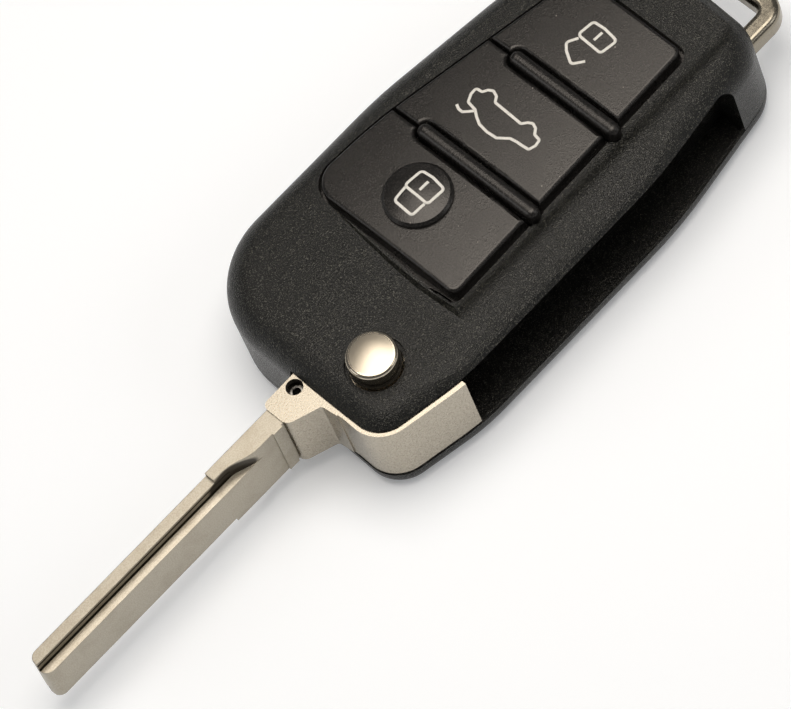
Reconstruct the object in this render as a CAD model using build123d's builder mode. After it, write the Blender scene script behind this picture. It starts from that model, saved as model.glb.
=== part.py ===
import os
from math import hypot, radians, sqrt, tan

from build123d import *

os.makedirs("parts", exist_ok=True)

# The origin is on the table, under the blade's pivot. +X runs to the blade's tip,
# +Y to the long side that the blade folds into, and the buttons face up (mm).

# Case outline, seen from above
nose_x = 7.25
tail_x = -60.3
slot_side_y = 9.35
hand_side_y = -26.45
nose_fall = 2.65
nose_taper = 0.95
nose_fall_start_x = -5.5
slot_side_fall_start_x = -38.6
slot_side_fall = 3.3
tail_mid_y = -8.4
tail_bow = 0.6
hand_side_fall = 4.15
hand_side_fall_start_x = -26.0
nose_slot_corner_r = 4.6
nose_hand_corner_r = 12.0
tail_slot_corner_r = 6.1
tail_hand_corner_r = 8.0
long_side_bend_r = 60.0
nose_bend_r = 30.0

# Case heights and walls
split_z = 3.0
seam_groove = 0.15
case_top_z = 14.9
crown_r = 160.0
shoulder_r = 3.8
back_edge_r = 2.2
wall = 1.5
divider = 0.8
back_floor = 1.5
room_top_z = 13.0
head_roof_z = 12.8
slot_rim = 0.5
slot_end_corner_r = 2.0
lip_thick = 0.8
lip_height = 1.0
seat_gap = 0.1
loose_gap = 0.2

# Key blade, one long bar with a milled step on each narrow edge
blade_tip_x = 51.6
blade_y = -5.85
blade_thick = 2.7
blade_low_z = 3.5
blade_high_z = 12.4
collar_x = 11.7
land_end_x = 22.1
land_step = 0.65
track_depth = 2.25
track_start_x = 15.6
track_full_x = 21.0
track_wall_offset = 0.1
tip_corner_r = 1.1
tip_edge_r = 1.2
ledge_start_x = 12.0
ledge_end_x = 13.5
ledge_proud = 0.25
tang_thick = 2.2
tang_trim_z = 1.0
tang_end_x = 6.7

# Blade head, the metal drum, band and neck that carry the blade
head_low_z = 3.15
head_high_z = 12.6
band_inset = 0.12
band_end_x = -5.2
band_back_end_x = 3.2
head_core_r = 7.0
head_gap = 0.25
neck_hand_y = -7.95
neck_slot_y = -3.9
neck_root_y = -2.3
neck_root_x = 7.4
neck_hand_corner_r = 0.9
neck_slot_corner_r = 1.3
neck_root_r = 0.5
hub_r = 4.3
hub_low_z = 1.9
running_gap = 0.05
spring_room_r = 4.4
spring_floor_z = 5.7
neck_gap = 0.4

# Roll pin across the neck
pin_x = 7.6
pin_y = -6.6
pin_r = 0.8
pin_wall = 0.25
pin_slit = 0.35
pin_countersink_r = 1.05
pin_countersink = 1.2
pin_gap = 0.02

# Release cap, its shaft and the flip spring
cap_r = 3.15
cap_gap = 0.15
cap_top_z = 17.5
cap_dome = 0.25
cap_edge_r = 0.45
cap_flange_r = 3.9
cap_flange = 0.9
cap_travel = 2.2
shaft_r = 1.9
shaft_socket = 2.6
spring_mean_r = 3.25
spring_wire_r = 0.4
spring_wire_sides = 8
spring_turns = 4
cap_recess_r = 3.75
cap_recess = 0.7

# Button pad, three buttons with a bar between each pair
pad_near_x = -12.0
pad_far_x = -52.0
pad_slot_y = 1.2
pad_slot_far_y = 0.2
pad_hand_y = -23.2
pad_bend_x = -23.0
pad_bend_y = -22.6
pad_far_y = -16.8
pad_near_corner_r = 3.5
pad_slot_corner_r = 1.2
pad_far_corner_r = 4.0
pad_bend_r = 60.0
button_top_z = 15.3
button_edge_r = 0.5
button_gap = 0.3
slot_side_gap = 0.5
near_corner_gap = 1.0
button_lap = 0.5
button_skin = 1.2
button_flange = 0.6
button_travel = 0.5
seam_gap = 0.15
stem_r = 1.5
bar_xs = (-25.5, -39.25)
bar_hand_ys = (-17.6, -15.6)
bar_slot_y = 1.8
bar_half_width = 0.95
bar_gap = 0.35
bar_top_z = 15.75
bar_end_z = 13.8
stem_places = {"lock": (-18.7, -11.1), "boot": (-32.4, -9.8), "unlock": (-45.6, -8.8)}
lock_disc_r = 4.3
lock_disc_side_rise = 0.35
lock_disc_chamfer = 0.35
lock_disc_dome = 0.45

# Recess in the case's top round the button pad, deepest along the blade slot
recess_near_x = -10.55
recess_near_bend_y = -3.0
recess_near_hand_x = -12.2
recess_slot_y = 6.0
recess_hand_y = -24.5
recess_corner_r = 1.2
recess_bend_r = 10.0
recess_low_z = 13.7
recess_rim_z = 14.4
recess_slope = 50.0
recess_floor_top_z = 14.53
recess_floor_mid_y = -13.3
valley_start_y = 1.2
valley_mid_y = 2.75
valley_rise = 0.25
ridge_y = 4.3
ridge_end_y = 9.0
ridge_end_z = 12.8

# Button frame and seal mat under the buttons
frame_thick = 0.8
mat_thick = 0.6
frame_window_r = 2.4
mat_window_r = 3.0
frame_leg_r = 0.8

# Circuit board and what it carries
board_low_z = 8.2
board_thick = 1.0
board_end_x = -54.2
switch_length = 4.2
switch_width = 3.2
switch_height = 1.0
plunger_r = 0.9
plunger_height = 0.3
chip_x = -21.0
chip_y = -7.0
chip_side = 6.0
chip_height = 1.0
chip_pins = 6
chip_pin_pitch = 0.8
chip_pin_width = 0.35
chip_pin_reach = 0.7
crystal_x = -25.5
crystal_y = -19.4
crystal_length = 3.2
crystal_width = 2.0
crystal_height = 0.8
crystal_corner_r = 0.5
coil_x = -18.0
coil_y = -16.0
coil_length = 8.0
coil_width = 3.0
coil_core = 1.6
coil_flange = 0.8

# Coin cell and its contacts
cell_x = -39.6
cell_y = -10.2
cell_r = 10.0
cell_thick = 3.2
cell_low_z = 3.4
cell_cap_r = 8.6
cell_cap_step = 0.3
cell_gap = 0.2
clip_thick = 0.25
clip_width = 4.0
clip_reach = 7.0

# Inner carrier, the tray that holds the board, cell and transponder
tray_floor = 0.7
tray_wall = 1.0
tray_gap = 1.1
transponder_x = -22.0
transponder_y = -15.0
transponder_length = 11.5
transponder_width = 6.0
transponder_thick = 2.6
transponder_nose = 2.0

# Key ring bail
bail_far_x = -66.2
bail_foot_x = -55.0
bail_slot_y = 3.2
bail_hand_y = -18.4
bail_width = 2.7
bail_height = 3.0
bail_mid_z = 7.75
bail_corner_r = 3.4
bail_inner_corner_r = 1.0
bail_edge_r = 0.8
bail_foot_gap_y = (-12.0, -3.4)
bail_gap = 0.15

# Case screw
screw_x = -57.1
screw_y = -8.4
screw_shank_r = 0.9
screw_head_r = 1.8
screw_head_height = 0.9
screw_seat_z = 1.2
screw_length = 6.0
screw_slot_width = 0.5
screw_slot_depth = 0.45
boss_r = 2.1
thread_gap = 0.02

# Reach of cutting shapes past what they cut
past = 20.0
far_past = 100.0

# Case outline
case_corners = [
    (nose_x, slot_side_y - nose_fall),
    (nose_fall_start_x, slot_side_y),
    (slot_side_fall_start_x, slot_side_y),
    (tail_x + tail_bow, slot_side_y - slot_side_fall),
    (tail_x, tail_mid_y),
    (tail_x + 2 * tail_bow, hand_side_y + hand_side_fall),
    (hand_side_fall_start_x, hand_side_y),
    (nose_x - nose_taper, hand_side_y),
]
case_radii = [
    nose_slot_corner_r,
    nose_bend_r,
    long_side_bend_r,
    tail_slot_corner_r,
    long_side_bend_r,
    tail_hand_corner_r,
    long_side_bend_r,
    nose_hand_corner_r,
]
with BuildSketch() as case_plan:
    with BuildLine():
        FilletPolyline(*case_corners, radius=case_radii, close=True)
    make_face()

with BuildSketch() as wall_inside_plan:
    add(case_plan.sketch)
    offset(amount=-wall)

# Blade head seen from above: the band that closes the case's corner, the same band
# half a turn round for the folded key, the drum and the neck
with BuildSketch() as band_plan:
    add(case_plan.sketch)
    offset(amount=-band_inset)
    with Locations((band_end_x, 0)):
        Rectangle(past, past, align=(Align.MIN, Align.MIN), mode=Mode.INTERSECT)

with BuildSketch() as back_band_plan:
    add(band_plan.sketch, rotation=180)
    with Locations((band_back_end_x, 0)):
        Rectangle(past, past, align=(Align.MAX, Align.MAX), mode=Mode.INTERSECT)

with BuildSketch() as head_plan:
    Circle(head_core_r)
    add(band_plan.sketch)
    add(back_band_plan.sketch)
    with BuildLine():
        FilletPolyline(
            (0, neck_hand_y),
            (collar_x, neck_hand_y),
            (collar_x, neck_slot_y),
            (neck_root_x, neck_root_y),
            (nose_x - band_inset, 0),
            (0, 0),
            radius=(0, neck_hand_corner_r, neck_slot_corner_r, neck_root_r, 0, 0),
            close=True,
        )
    make_face()

# Rooms in the case: one that the head and blade turn in, one for the electronics
chamber_r = hypot(band_end_x, slot_side_y - band_inset) + head_gap
front_wall_x = -band_end_x + head_gap
front_wall_y = neck_hand_y - neck_gap
slot_wall_y = -neck_slot_y - 2 * neck_gap
slot_end_x = -blade_tip_x - 2 * neck_gap
with BuildSketch() as blade_room_plan:
    Circle(chamber_r)
    with Locations((front_wall_x, 0)):
        Rectangle(2 * past, 2 * past, align=(Align.MAX, Align.CENTER), mode=Mode.INTERSECT)
    with Locations((0, front_wall_y)):
        Rectangle(past, 2 * past, align=(Align.MIN, Align.MIN))
    with Locations((slot_end_x, slot_wall_y)):
        Rectangle(-slot_end_x, past, align=(Align.MIN, Align.MIN))

with BuildSketch() as electronics_plan:
    add(wall_inside_plan.sketch)
    Circle(chamber_r + divider, mode=Mode.SUBTRACT)
    with Locations((slot_end_x - divider, slot_wall_y - divider)):
        Rectangle(past - slot_end_x, past, align=(Align.MIN, Align.MIN), mode=Mode.SUBTRACT)
    with Locations((0, front_wall_y - divider)):
        Rectangle(past, 2 * past, align=(Align.MIN, Align.MIN), mode=Mode.SUBTRACT)

with BuildSketch() as tray_plan:
    add(electronics_plan.sketch)
    offset(amount=-tray_gap)
    with Locations((board_end_x, 0)):
        Rectangle(far_past, far_past, align=(Align.MIN, Align.CENTER), mode=Mode.INTERSECT)


# Button pad outline, its opening in the case and the bars' slots
def pad_sketch(near_gap, slot_gap, hand_gap):
    """Plan of the pad, grown at its near slot corner, its slot and far sides and its hand side."""
    with BuildSketch() as plan:
        with BuildLine():
            FilletPolyline(
                (pad_near_x + near_gap, pad_slot_y + slot_gap),
                (pad_far_x - slot_gap, pad_slot_far_y + slot_gap),
                (pad_far_x - slot_gap, pad_far_y - hand_gap),
                (pad_bend_x, pad_bend_y - hand_gap),
                (pad_near_x + hand_gap, pad_hand_y - hand_gap),
                radius=(
                    pad_slot_corner_r + slot_gap,
                    pad_slot_corner_r + slot_gap,
                    pad_far_corner_r + hand_gap,
                    pad_bend_r,
                    pad_near_corner_r + hand_gap,
                ),
                close=True,
            )
        make_face()
    return plan.sketch


pad_plan = pad_sketch(0, 0, 0)
pad_opening_plan = pad_sketch(near_corner_gap, slot_side_gap, button_gap)

with BuildSketch() as flange_limit_plan:
    add(pad_opening_plan)
    offset(amount=button_lap)

with BuildSketch() as flange_plan:
    add(electronics_plan.sketch)
    offset(amount=-loose_gap)
    add(flange_limit_plan.sketch, mode=Mode.INTERSECT)


def bar_sketch(side_gap, end_y):
    """Plan of both bars, grown by side_gap, with half-round ends."""
    half = bar_half_width + side_gap
    with BuildSketch() as plan:
        for bar_x, hand_y in zip(bar_xs, bar_hand_ys):
            length = end_y - hand_y
            with Locations((bar_x, (end_y + hand_y) / 2)):
                SlotOverall(length + 2 * side_gap, 2 * half, rotation=90)
    return plan.sketch


bar_body_plan = bar_sketch(0, pad_slot_far_y - bar_gap)
bar_top_plan = bar_sketch(0, bar_slot_y)
bar_slot_plan = bar_sketch(bar_gap, bar_slot_y)


def crown_sketch(mid_y, top_z):
    """Section across the case under a gently crowned surface."""
    with BuildSketch() as section:
        with Locations((mid_y, top_z - crown_r)):
            Circle(crown_r)
        with Locations((mid_y, top_z)):
            Rectangle(far_past, 2 * case_top_z, mode=Mode.INTERSECT)
    return section.sketch


def crown_z(mid_y, top_z, y):
    """Height of a crowned surface at y."""
    return top_z - crown_r + sqrt(crown_r**2 - (y - mid_y) ** 2)


# Sections across the case: over the ridge beside the slot, and of the recess next to it
ridge_z = crown_z(tail_mid_y, case_top_z, ridge_y)
valley_start_z = crown_z(recess_floor_mid_y, recess_floor_top_z, valley_start_y)
ridge_tangent = (crown_r, tail_mid_y - ridge_y)
valley_tangent = (crown_r, recess_floor_mid_y - valley_start_y)
with BuildSketch() as ridge_section:
    with BuildLine():
        Polyline((ridge_y, case_top_z + wall), (ridge_y, ridge_z))
        ridge_arc = TangentArc((ridge_y, ridge_z), (ridge_end_y, ridge_end_z), tangent=ridge_tangent)
        Polyline(
            ridge_arc @ 1,
            ridge_arc @ 1 + ridge_arc % 1 * wall,
            (past, ridge_end_z),
            (past, case_top_z + wall),
            (ridge_y, case_top_z + wall),
        )
    make_face()

with BuildSketch() as valley_section:
    with BuildLine():
        foot_arc = TangentArc(
            (valley_start_y, valley_start_z),
            (valley_mid_y, valley_start_z + valley_rise),
            tangent=valley_tangent,
        )
        crest_arc = TangentArc(foot_arc @ 1, (ridge_y, ridge_z), tangent=foot_arc % 1)
        Polyline(
            crest_arc @ 1,
            (ridge_y, case_top_z + wall),
            (past, case_top_z + wall),
            (past, 0),
            (valley_start_y, 0),
            (valley_start_y, valley_start_z),
        )
    make_face()
    with Locations((recess_floor_mid_y, recess_floor_top_z - crown_r)):
        Circle(crown_r)
    with Locations((0, case_top_z + wall)):
        Rectangle(far_past, 2 * case_top_z, mode=Mode.INTERSECT)

# Cutter for the recess: a sloped near wall on the valley's floor, open past the case's tail
recess_corners = [
    (recess_near_x, recess_slot_y),
    (tail_x - past, recess_slot_y),
    (tail_x - past, recess_hand_y),
    (recess_near_hand_x, recess_hand_y),
    (recess_near_x, recess_near_bend_y),
]
recess_radii = [recess_corner_r, recess_corner_r, recess_corner_r, recess_corner_r, recess_bend_r]
with BuildPart() as recess_cutter:
    with BuildSketch(Plane.XY.offset(recess_low_z)):
        with BuildLine():
            FilletPolyline(*recess_corners, radius=recess_radii, close=True)
        make_face()
        offset(amount=-(recess_rim_z - recess_low_z) * tan(radians(recess_slope)))
    extrude(amount=case_top_z - recess_low_z, taper=-recess_slope)
    with BuildSketch(Plane.YZ):
        add(valley_section.sketch)
    extrude(amount=far_past, both=True, mode=Mode.SUBTRACT)

# Front shell
room_height = room_top_z - split_z
bail_low_z = bail_mid_z - bail_height / 2
bail_leg_ys = (bail_slot_y - bail_width / 2, bail_hand_y + bail_width / 2)
with BuildPart() as front_shell:
    with BuildSketch(Plane.XY.offset(split_z)):
        add(case_plan.sketch)
    extrude(amount=case_top_z - split_z)
    with BuildSketch(Plane.YZ):
        add(crown_sketch(tail_mid_y, case_top_z))
    extrude(amount=far_past, both=True, mode=Mode.INTERSECT)
    fillet(front_shell.faces().sort_by(Axis.Z)[-1].edges(), shoulder_r)
    with BuildSketch(Plane.XY.offset(split_z)):
        add(electronics_plan.sketch)
    extrude(amount=room_height, mode=Mode.SUBTRACT)
    with BuildSketch(Plane.XY.offset(split_z)):
        add(blade_room_plan.sketch)
    extrude(amount=head_roof_z - split_z, mode=Mode.SUBTRACT)
    slot_end_edges = [
        edge
        for edge in front_shell.edges().filter_by(Axis.Y)
        if hypot(edge.center().X - slot_end_x, edge.center().Z - head_roof_z) < seat_gap
    ]
    fillet(slot_end_edges, slot_end_corner_r)
    with BuildSketch(Plane.YZ):
        add(ridge_section.sketch)
    extrude(amount=far_past, both=True, mode=Mode.SUBTRACT)
    add(recess_cutter.part, mode=Mode.SUBTRACT)
    with BuildSketch(Plane.XY.offset(head_roof_z)):
        add(pad_opening_plan)
    extrude(amount=case_top_z, mode=Mode.SUBTRACT)
    with BuildSketch(Plane.XY.offset(bar_end_z - loose_gap)):
        add(bar_slot_plan)
    extrude(amount=case_top_z, mode=Mode.SUBTRACT)
    with BuildSketch(Plane.XY.offset(head_low_z)):
        Circle(cap_r + cap_gap)
    extrude(amount=case_top_z, mode=Mode.SUBTRACT)
    with BuildSketch(Plane.XY.offset(case_top_z - cap_recess)):
        Circle(cap_recess_r)
    extrude(amount=case_top_z, mode=Mode.SUBTRACT)
    with BuildSketch(Plane.XY.offset(split_z)):
        for leg_y in bail_leg_ys:
            with Locations((bail_foot_x + bail_gap, leg_y)):
                Rectangle(
                    bail_foot_x - bail_far_x,
                    bail_width + 2 * bail_gap,
                    align=(Align.MAX, Align.CENTER),
                )
    extrude(amount=bail_low_z + bail_height + bail_gap - split_z, mode=Mode.SUBTRACT)
    with BuildSketch(Plane.XY.offset(split_z)):
        with Locations((screw_x, screw_y)):
            Circle(boss_r)
    extrude(amount=room_height)
    with BuildSketch(Plane.XY.offset(split_z)):
        with Locations((screw_x, screw_y)):
            Circle(screw_shank_r + thread_gap)
    extrude(amount=screw_length, mode=Mode.SUBTRACT)
front_shell.part.label = "front_shell"
export_step(front_shell.part, "parts/front_shell.step")

# Back shell
hub_ring_low_z = back_floor
with BuildPart() as back_shell:
    with BuildSketch():
        add(case_plan.sketch)
    extrude(amount=split_z)
    fillet(back_shell.faces().sort_by(Axis.Z)[0].edges(), back_edge_r)
    with BuildSketch(Plane.XY.offset(split_z - seam_groove)):
        add(case_plan.sketch)
        offset(amount=-seam_groove, mode=Mode.SUBTRACT)
    extrude(amount=seam_groove, mode=Mode.SUBTRACT)
    with BuildSketch(Plane.XY.offset(back_floor)):
        add(case_plan.sketch)
        offset(amount=-slot_rim)
        add(blade_room_plan.sketch, mode=Mode.INTERSECT)
    extrude(amount=split_z, mode=Mode.SUBTRACT)
    with BuildSketch(Plane.XY.offset(back_floor)):
        add(electronics_plan.sketch)
        offset(amount=-(tray_gap - loose_gap))
    extrude(amount=split_z, mode=Mode.SUBTRACT)
    with BuildSketch(Plane.XY.offset(hub_ring_low_z)):
        Circle(hub_r + running_gap + divider)
        Circle(hub_r + running_gap, mode=Mode.SUBTRACT)
    extrude(amount=head_low_z - loose_gap - hub_ring_low_z)
    with BuildSketch(Plane.XY.offset(split_z)):
        add(wall_inside_plan.sketch)
        offset(amount=-seat_gap)
        with Locations((hand_side_fall_start_x, hand_side_y)):
            Rectangle(2 * past, 2 * wall + hand_side_fall, mode=Mode.INTERSECT)
        with BuildSketch(mode=Mode.SUBTRACT):
            add(wall_inside_plan.sketch)
            offset(amount=-(seat_gap + lip_thick))
    extrude(amount=lip_height)
    with BuildSketch(Plane.XY.offset(split_z)):
        add(case_plan.sketch)
        with BuildSketch(mode=Mode.SUBTRACT):
            add(wall_inside_plan.sketch)
        with BuildSketch(mode=Mode.INTERSECT):
            for leg_y in bail_leg_ys:
                with Locations((tail_x, leg_y)):
                    Rectangle(far_past, bail_width + bail_gap)
    extrude(amount=bail_low_z - bail_gap - split_z)
    with BuildSketch(Plane.XY.offset(back_floor)):
        with Locations((screw_x, screw_y)):
            Circle(boss_r)
    extrude(amount=split_z - back_floor)
    with BuildSketch():
        with Locations((screw_x, screw_y)):
            Circle(screw_shank_r + seat_gap)
    extrude(amount=split_z, mode=Mode.SUBTRACT)
    with BuildSketch():
        with Locations((screw_x, screw_y)):
            Circle(screw_head_r + seat_gap)
    extrude(amount=screw_seat_z, mode=Mode.SUBTRACT)
back_shell.part.label = "back_shell"
export_step(back_shell.part, "parts/back_shell.step")

# Blade head
tang_gap = running_gap
blade_mid_z = (blade_low_z + blade_high_z) / 2
blade_height = blade_high_z - blade_low_z
tang_height = blade_height - 2 * tang_trim_z
head_height = head_high_z - head_low_z
with BuildPart() as blade_head:
    with BuildSketch(Plane.XY.offset(head_low_z)):
        add(head_plan.sketch)
    extrude(amount=head_height)
    with BuildSketch(Plane.XY.offset(hub_low_z)):
        Circle(hub_r)
    extrude(amount=head_low_z - hub_low_z)
    with BuildSketch(Plane.XY.offset(spring_floor_z)):
        Circle(spring_room_r)
    extrude(amount=head_height, mode=Mode.SUBTRACT)
    with BuildSketch(Plane.XY.offset(hub_low_z)):
        Circle(shaft_r + running_gap)
    extrude(amount=head_height, mode=Mode.SUBTRACT)
    with BuildSketch(Plane.XY.offset(blade_mid_z - tang_height / 2 - tang_gap)):
        with Locations((tang_end_x - tang_gap, blade_y)):
            Rectangle(
                collar_x,
                tang_thick + 2 * tang_gap,
                align=(Align.MIN, Align.CENTER),
            )
    extrude(amount=tang_height + 2 * tang_gap, mode=Mode.SUBTRACT)
    with BuildSketch(Plane.XY.offset(head_low_z)):
        with Locations((pin_x, pin_y)):
            Circle(pin_r + pin_gap)
    extrude(amount=head_height, mode=Mode.SUBTRACT)
    with BuildSketch(Plane.XY.offset(head_high_z - pin_countersink)):
        with Locations((pin_x, pin_y)):
            Circle(pin_countersink_r)
    extrude(amount=pin_countersink, mode=Mode.SUBTRACT)
blade_head.part.label = "blade_head"
export_step(blade_head.part, "parts/blade_head.step")

# Blade: both narrow edges are milled alike, so the second is the first half a turn round
blade_top = Plane((0, blade_y, blade_mid_z), x_dir=(1, 0, 0), z_dir=(0, 0, 1))
blade_bottom = Plane((0, blade_y, blade_mid_z), x_dir=(1, 0, 0), z_dir=(0, 0, -1))
half_height = blade_height / 2
half_thick = blade_thick / 2
with BuildPart() as blade:
    with BuildSketch(Plane((0, blade_y, 0), x_dir=(1, 0, 0), z_dir=(0, -1, 0))) as side_plan:
        with Locations((blade_tip_x, blade_mid_z)):
            Rectangle(
                blade_tip_x - collar_x, blade_height, align=(Align.MAX, Align.CENTER)
            )
        fillet(side_plan.vertices().group_by(Axis.X)[-1], tip_corner_r)
    extrude(amount=half_thick, both=True)
    with BuildSketch() as top_plan:
        with Locations((blade_tip_x, blade_y)):
            Rectangle(
                blade_tip_x - collar_x, blade_thick, align=(Align.MAX, Align.CENTER)
            )
        fillet(top_plan.vertices().group_by(Axis.X)[-1], tip_edge_r)
    extrude(amount=blade_high_z, mode=Mode.INTERSECT)
    for edge_plane in (blade_top, blade_bottom):
        with BuildSketch(edge_plane.offset(half_height - track_depth)):
            with BuildLine():
                Polyline(
                    (blade_tip_x, track_wall_offset),
                    (track_full_x, track_wall_offset),
                )
                Spline(
                    (track_full_x, track_wall_offset),
                    (track_start_x, half_thick),
                    tangents=[(-1, 0), (-1, 0)],
                )
                Polyline(
                    (track_start_x, half_thick),
                    (blade_tip_x, half_thick),
                    (blade_tip_x, track_wall_offset),
                )
            make_face()
        extrude(amount=blade_height, mode=Mode.SUBTRACT)
        with BuildSketch(edge_plane.offset(half_height - land_step)):
            with Locations((land_end_x, 0)):
                Rectangle(past * 2, blade_thick, align=(Align.MIN, Align.CENTER))
        extrude(amount=blade_height, mode=Mode.SUBTRACT)
    with BuildSketch(Plane.XY.offset(blade_low_z)):
        with Locations((ledge_start_x, blade_y)):
            Rectangle(
                ledge_end_x - ledge_start_x,
                half_thick + ledge_proud,
                align=(Align.MIN, Align.MIN),
            )
    extrude(amount=blade_height)
    with BuildSketch(Plane.YZ.offset(tang_end_x)):
        with Locations((blade_y, blade_mid_z)):
            Rectangle(tang_thick, tang_height)
    extrude(amount=collar_x - tang_end_x)
    with BuildSketch(Plane.XY):
        with Locations((pin_x, pin_y)):
            Circle(pin_r + pin_gap)
    extrude(amount=case_top_z, mode=Mode.SUBTRACT)
blade.part.label = "blade"
export_step(blade.part, "parts/blade.step")

# Roll pin, a split tube
pin_height = head_height - pin_countersink
with BuildPart() as roll_pin:
    with BuildSketch(Plane.XY.offset(head_low_z)):
        with Locations((pin_x, pin_y)):
            Circle(pin_r)
            Circle(pin_r - pin_wall, mode=Mode.SUBTRACT)
        with Locations((pin_x, pin_y)):
            Rectangle(
                pin_r + pin_wall, pin_slit, align=(Align.MIN, Align.CENTER), mode=Mode.SUBTRACT
            )
    extrude(amount=pin_height)
roll_pin.part.label = "roll_pin"
export_step(roll_pin.part, "parts/roll_pin.step")

# Release cap, turned with a flange that holds it under the front shell
flange_top_z = head_roof_z - loose_gap
cap_low_z = flange_top_z - cap_flange
with BuildPart() as release_cap:
    with BuildSketch(Plane.XY.offset(cap_low_z)):
        Circle(cap_r)
    extrude(amount=cap_top_z - cap_dome - cap_low_z)
    fillet(release_cap.edges().group_by(Axis.Z)[-1], cap_edge_r)
    with BuildSketch(Plane.XY.offset(cap_low_z)):
        Circle(cap_flange_r)
    extrude(amount=cap_flange)
    with BuildSketch(Plane.XZ):
        with BuildLine():
            dome_r = cap_r - cap_edge_r
            dome_low_z = cap_top_z - cap_dome
            Polyline((0, dome_low_z), (dome_r, dome_low_z))
            RadiusArc(
                (dome_r, dome_low_z),
                (0, cap_top_z),
                -(dome_r**2 + cap_dome**2) / (2 * cap_dome),
            )
            Polyline((0, cap_top_z), (0, dome_low_z))
        make_face()
    revolve(axis=Axis.Z)
    with BuildSketch(Plane.XY.offset(cap_low_z)):
        Circle(shaft_r + pin_gap)
    extrude(amount=shaft_socket, mode=Mode.SUBTRACT)
release_cap.part.label = "release_cap"
export_step(release_cap.part, "parts/release_cap.step")

# Release shaft, a pin that runs in the head's floor
shaft_low_z = back_floor + cap_travel + loose_gap
with BuildPart() as release_shaft:
    with BuildSketch(Plane.XY.offset(shaft_low_z)):
        Circle(shaft_r)
    extrude(amount=cap_low_z + shaft_socket - shaft_low_z)
    chamfer(release_shaft.edges().group_by(Axis.Z)[0], pin_wall)
release_shaft.part.label = "release_shaft"
export_step(release_shaft.part, "parts/release_shaft.step")

# Flip spring round the shaft, between the head's floor and the cap's flange
spring_low_z = spring_floor_z + spring_wire_r + running_gap
spring_high_z = cap_low_z - spring_wire_r - running_gap
spring_rise = spring_high_z - spring_low_z
with BuildPart() as flip_spring:
    with BuildLine():
        Helix(
            spring_rise / spring_turns,
            spring_rise,
            spring_mean_r,
            center=(0, 0, spring_low_z),
        )
    with BuildSketch(Plane((spring_mean_r, 0, spring_low_z), x_dir=(1, 0, 0), z_dir=(0, 1, 0))):
        RegularPolygon(spring_wire_r, spring_wire_sides)
    sweep(is_frenet=True)
flip_spring.part.label = "flip_spring"
export_step(flip_spring.part, "parts/flip_spring.step")

# Buttons: a hollow cap with a flange under the front shell and a stem over its switch
switch_top_z = board_low_z + board_thick + switch_height + plunger_height
flange_high_z = room_top_z - seat_gap
button_low_z = flange_high_z - button_flange
stem_low_z = switch_top_z + button_travel + seat_gap
dome_edge_r = lock_disc_r - lock_disc_chamfer
button_ends = (pad_near_x + past, *bar_xs, pad_far_x - past)
for index, (name, stem_place) in enumerate(stem_places.items()):
    near_x = button_ends[index] - seam_gap
    far_x = button_ends[index + 1] + seam_gap
    with BuildSketch() as span_plan:
        with Locations(((near_x + far_x) / 2, (pad_slot_y + pad_hand_y) / 2)):
            Rectangle(near_x - far_x, 2 * past)
    with BuildSketch() as button_plan:
        add(pad_plan)
        add(span_plan.sketch, mode=Mode.INTERSECT)
        add(bar_slot_plan, mode=Mode.SUBTRACT)
    with BuildPart() as button:
        with BuildSketch(Plane.XY.offset(button_low_z)):
            add(button_plan.sketch)
        extrude(amount=button_top_z - button_low_z)
        with BuildSketch(Plane.YZ):
            add(crown_sketch(tail_mid_y, button_top_z))
        extrude(amount=far_past, both=True, mode=Mode.INTERSECT)
        fillet(button.faces().sort_by(Axis.Z)[-1].edges(), button_edge_r)
        with BuildSketch(Plane.XY.offset(button_low_z)):
            add(flange_plan.sketch)
            add(span_plan.sketch, mode=Mode.INTERSECT)
            add(bar_slot_plan, mode=Mode.SUBTRACT)
        extrude(amount=button_flange)
        with BuildSketch(Plane.XY.offset(button_low_z)):
            add(button_plan.sketch)
            offset(amount=-button_skin)
        extrude(amount=button_top_z - button_skin - button_low_z, mode=Mode.SUBTRACT)
        with BuildSketch(Plane.XY.offset(stem_low_z)):
            with Locations(stem_place):
                Circle(stem_r)
        extrude(amount=button_top_z - button_skin - stem_low_z)
        if name == "lock":
            with BuildSketch(Plane(stem_place, x_dir=(1, 0, 0), z_dir=(0, -1, 0))):
                with BuildLine():
                    Polyline(
                        (0, button_top_z + 2 * lock_disc_side_rise + lock_disc_dome),
                        (0, button_top_z - lock_disc_side_rise),
                        (lock_disc_r, button_top_z - lock_disc_side_rise),
                        (lock_disc_r, button_top_z + lock_disc_side_rise),
                        (dome_edge_r, button_top_z + 2 * lock_disc_side_rise),
                    )
                    RadiusArc(
                        (dome_edge_r, button_top_z + 2 * lock_disc_side_rise),
                        (0, button_top_z + 2 * lock_disc_side_rise + lock_disc_dome),
                        -(dome_edge_r**2 + lock_disc_dome**2) / (2 * lock_disc_dome),
                    )
                make_face()
            revolve(axis=Axis(stem_place, (0, 0, 1)))
    button.part.label = "button_" + name
    export_step(button.part, "parts/button_" + name + ".step")

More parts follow.
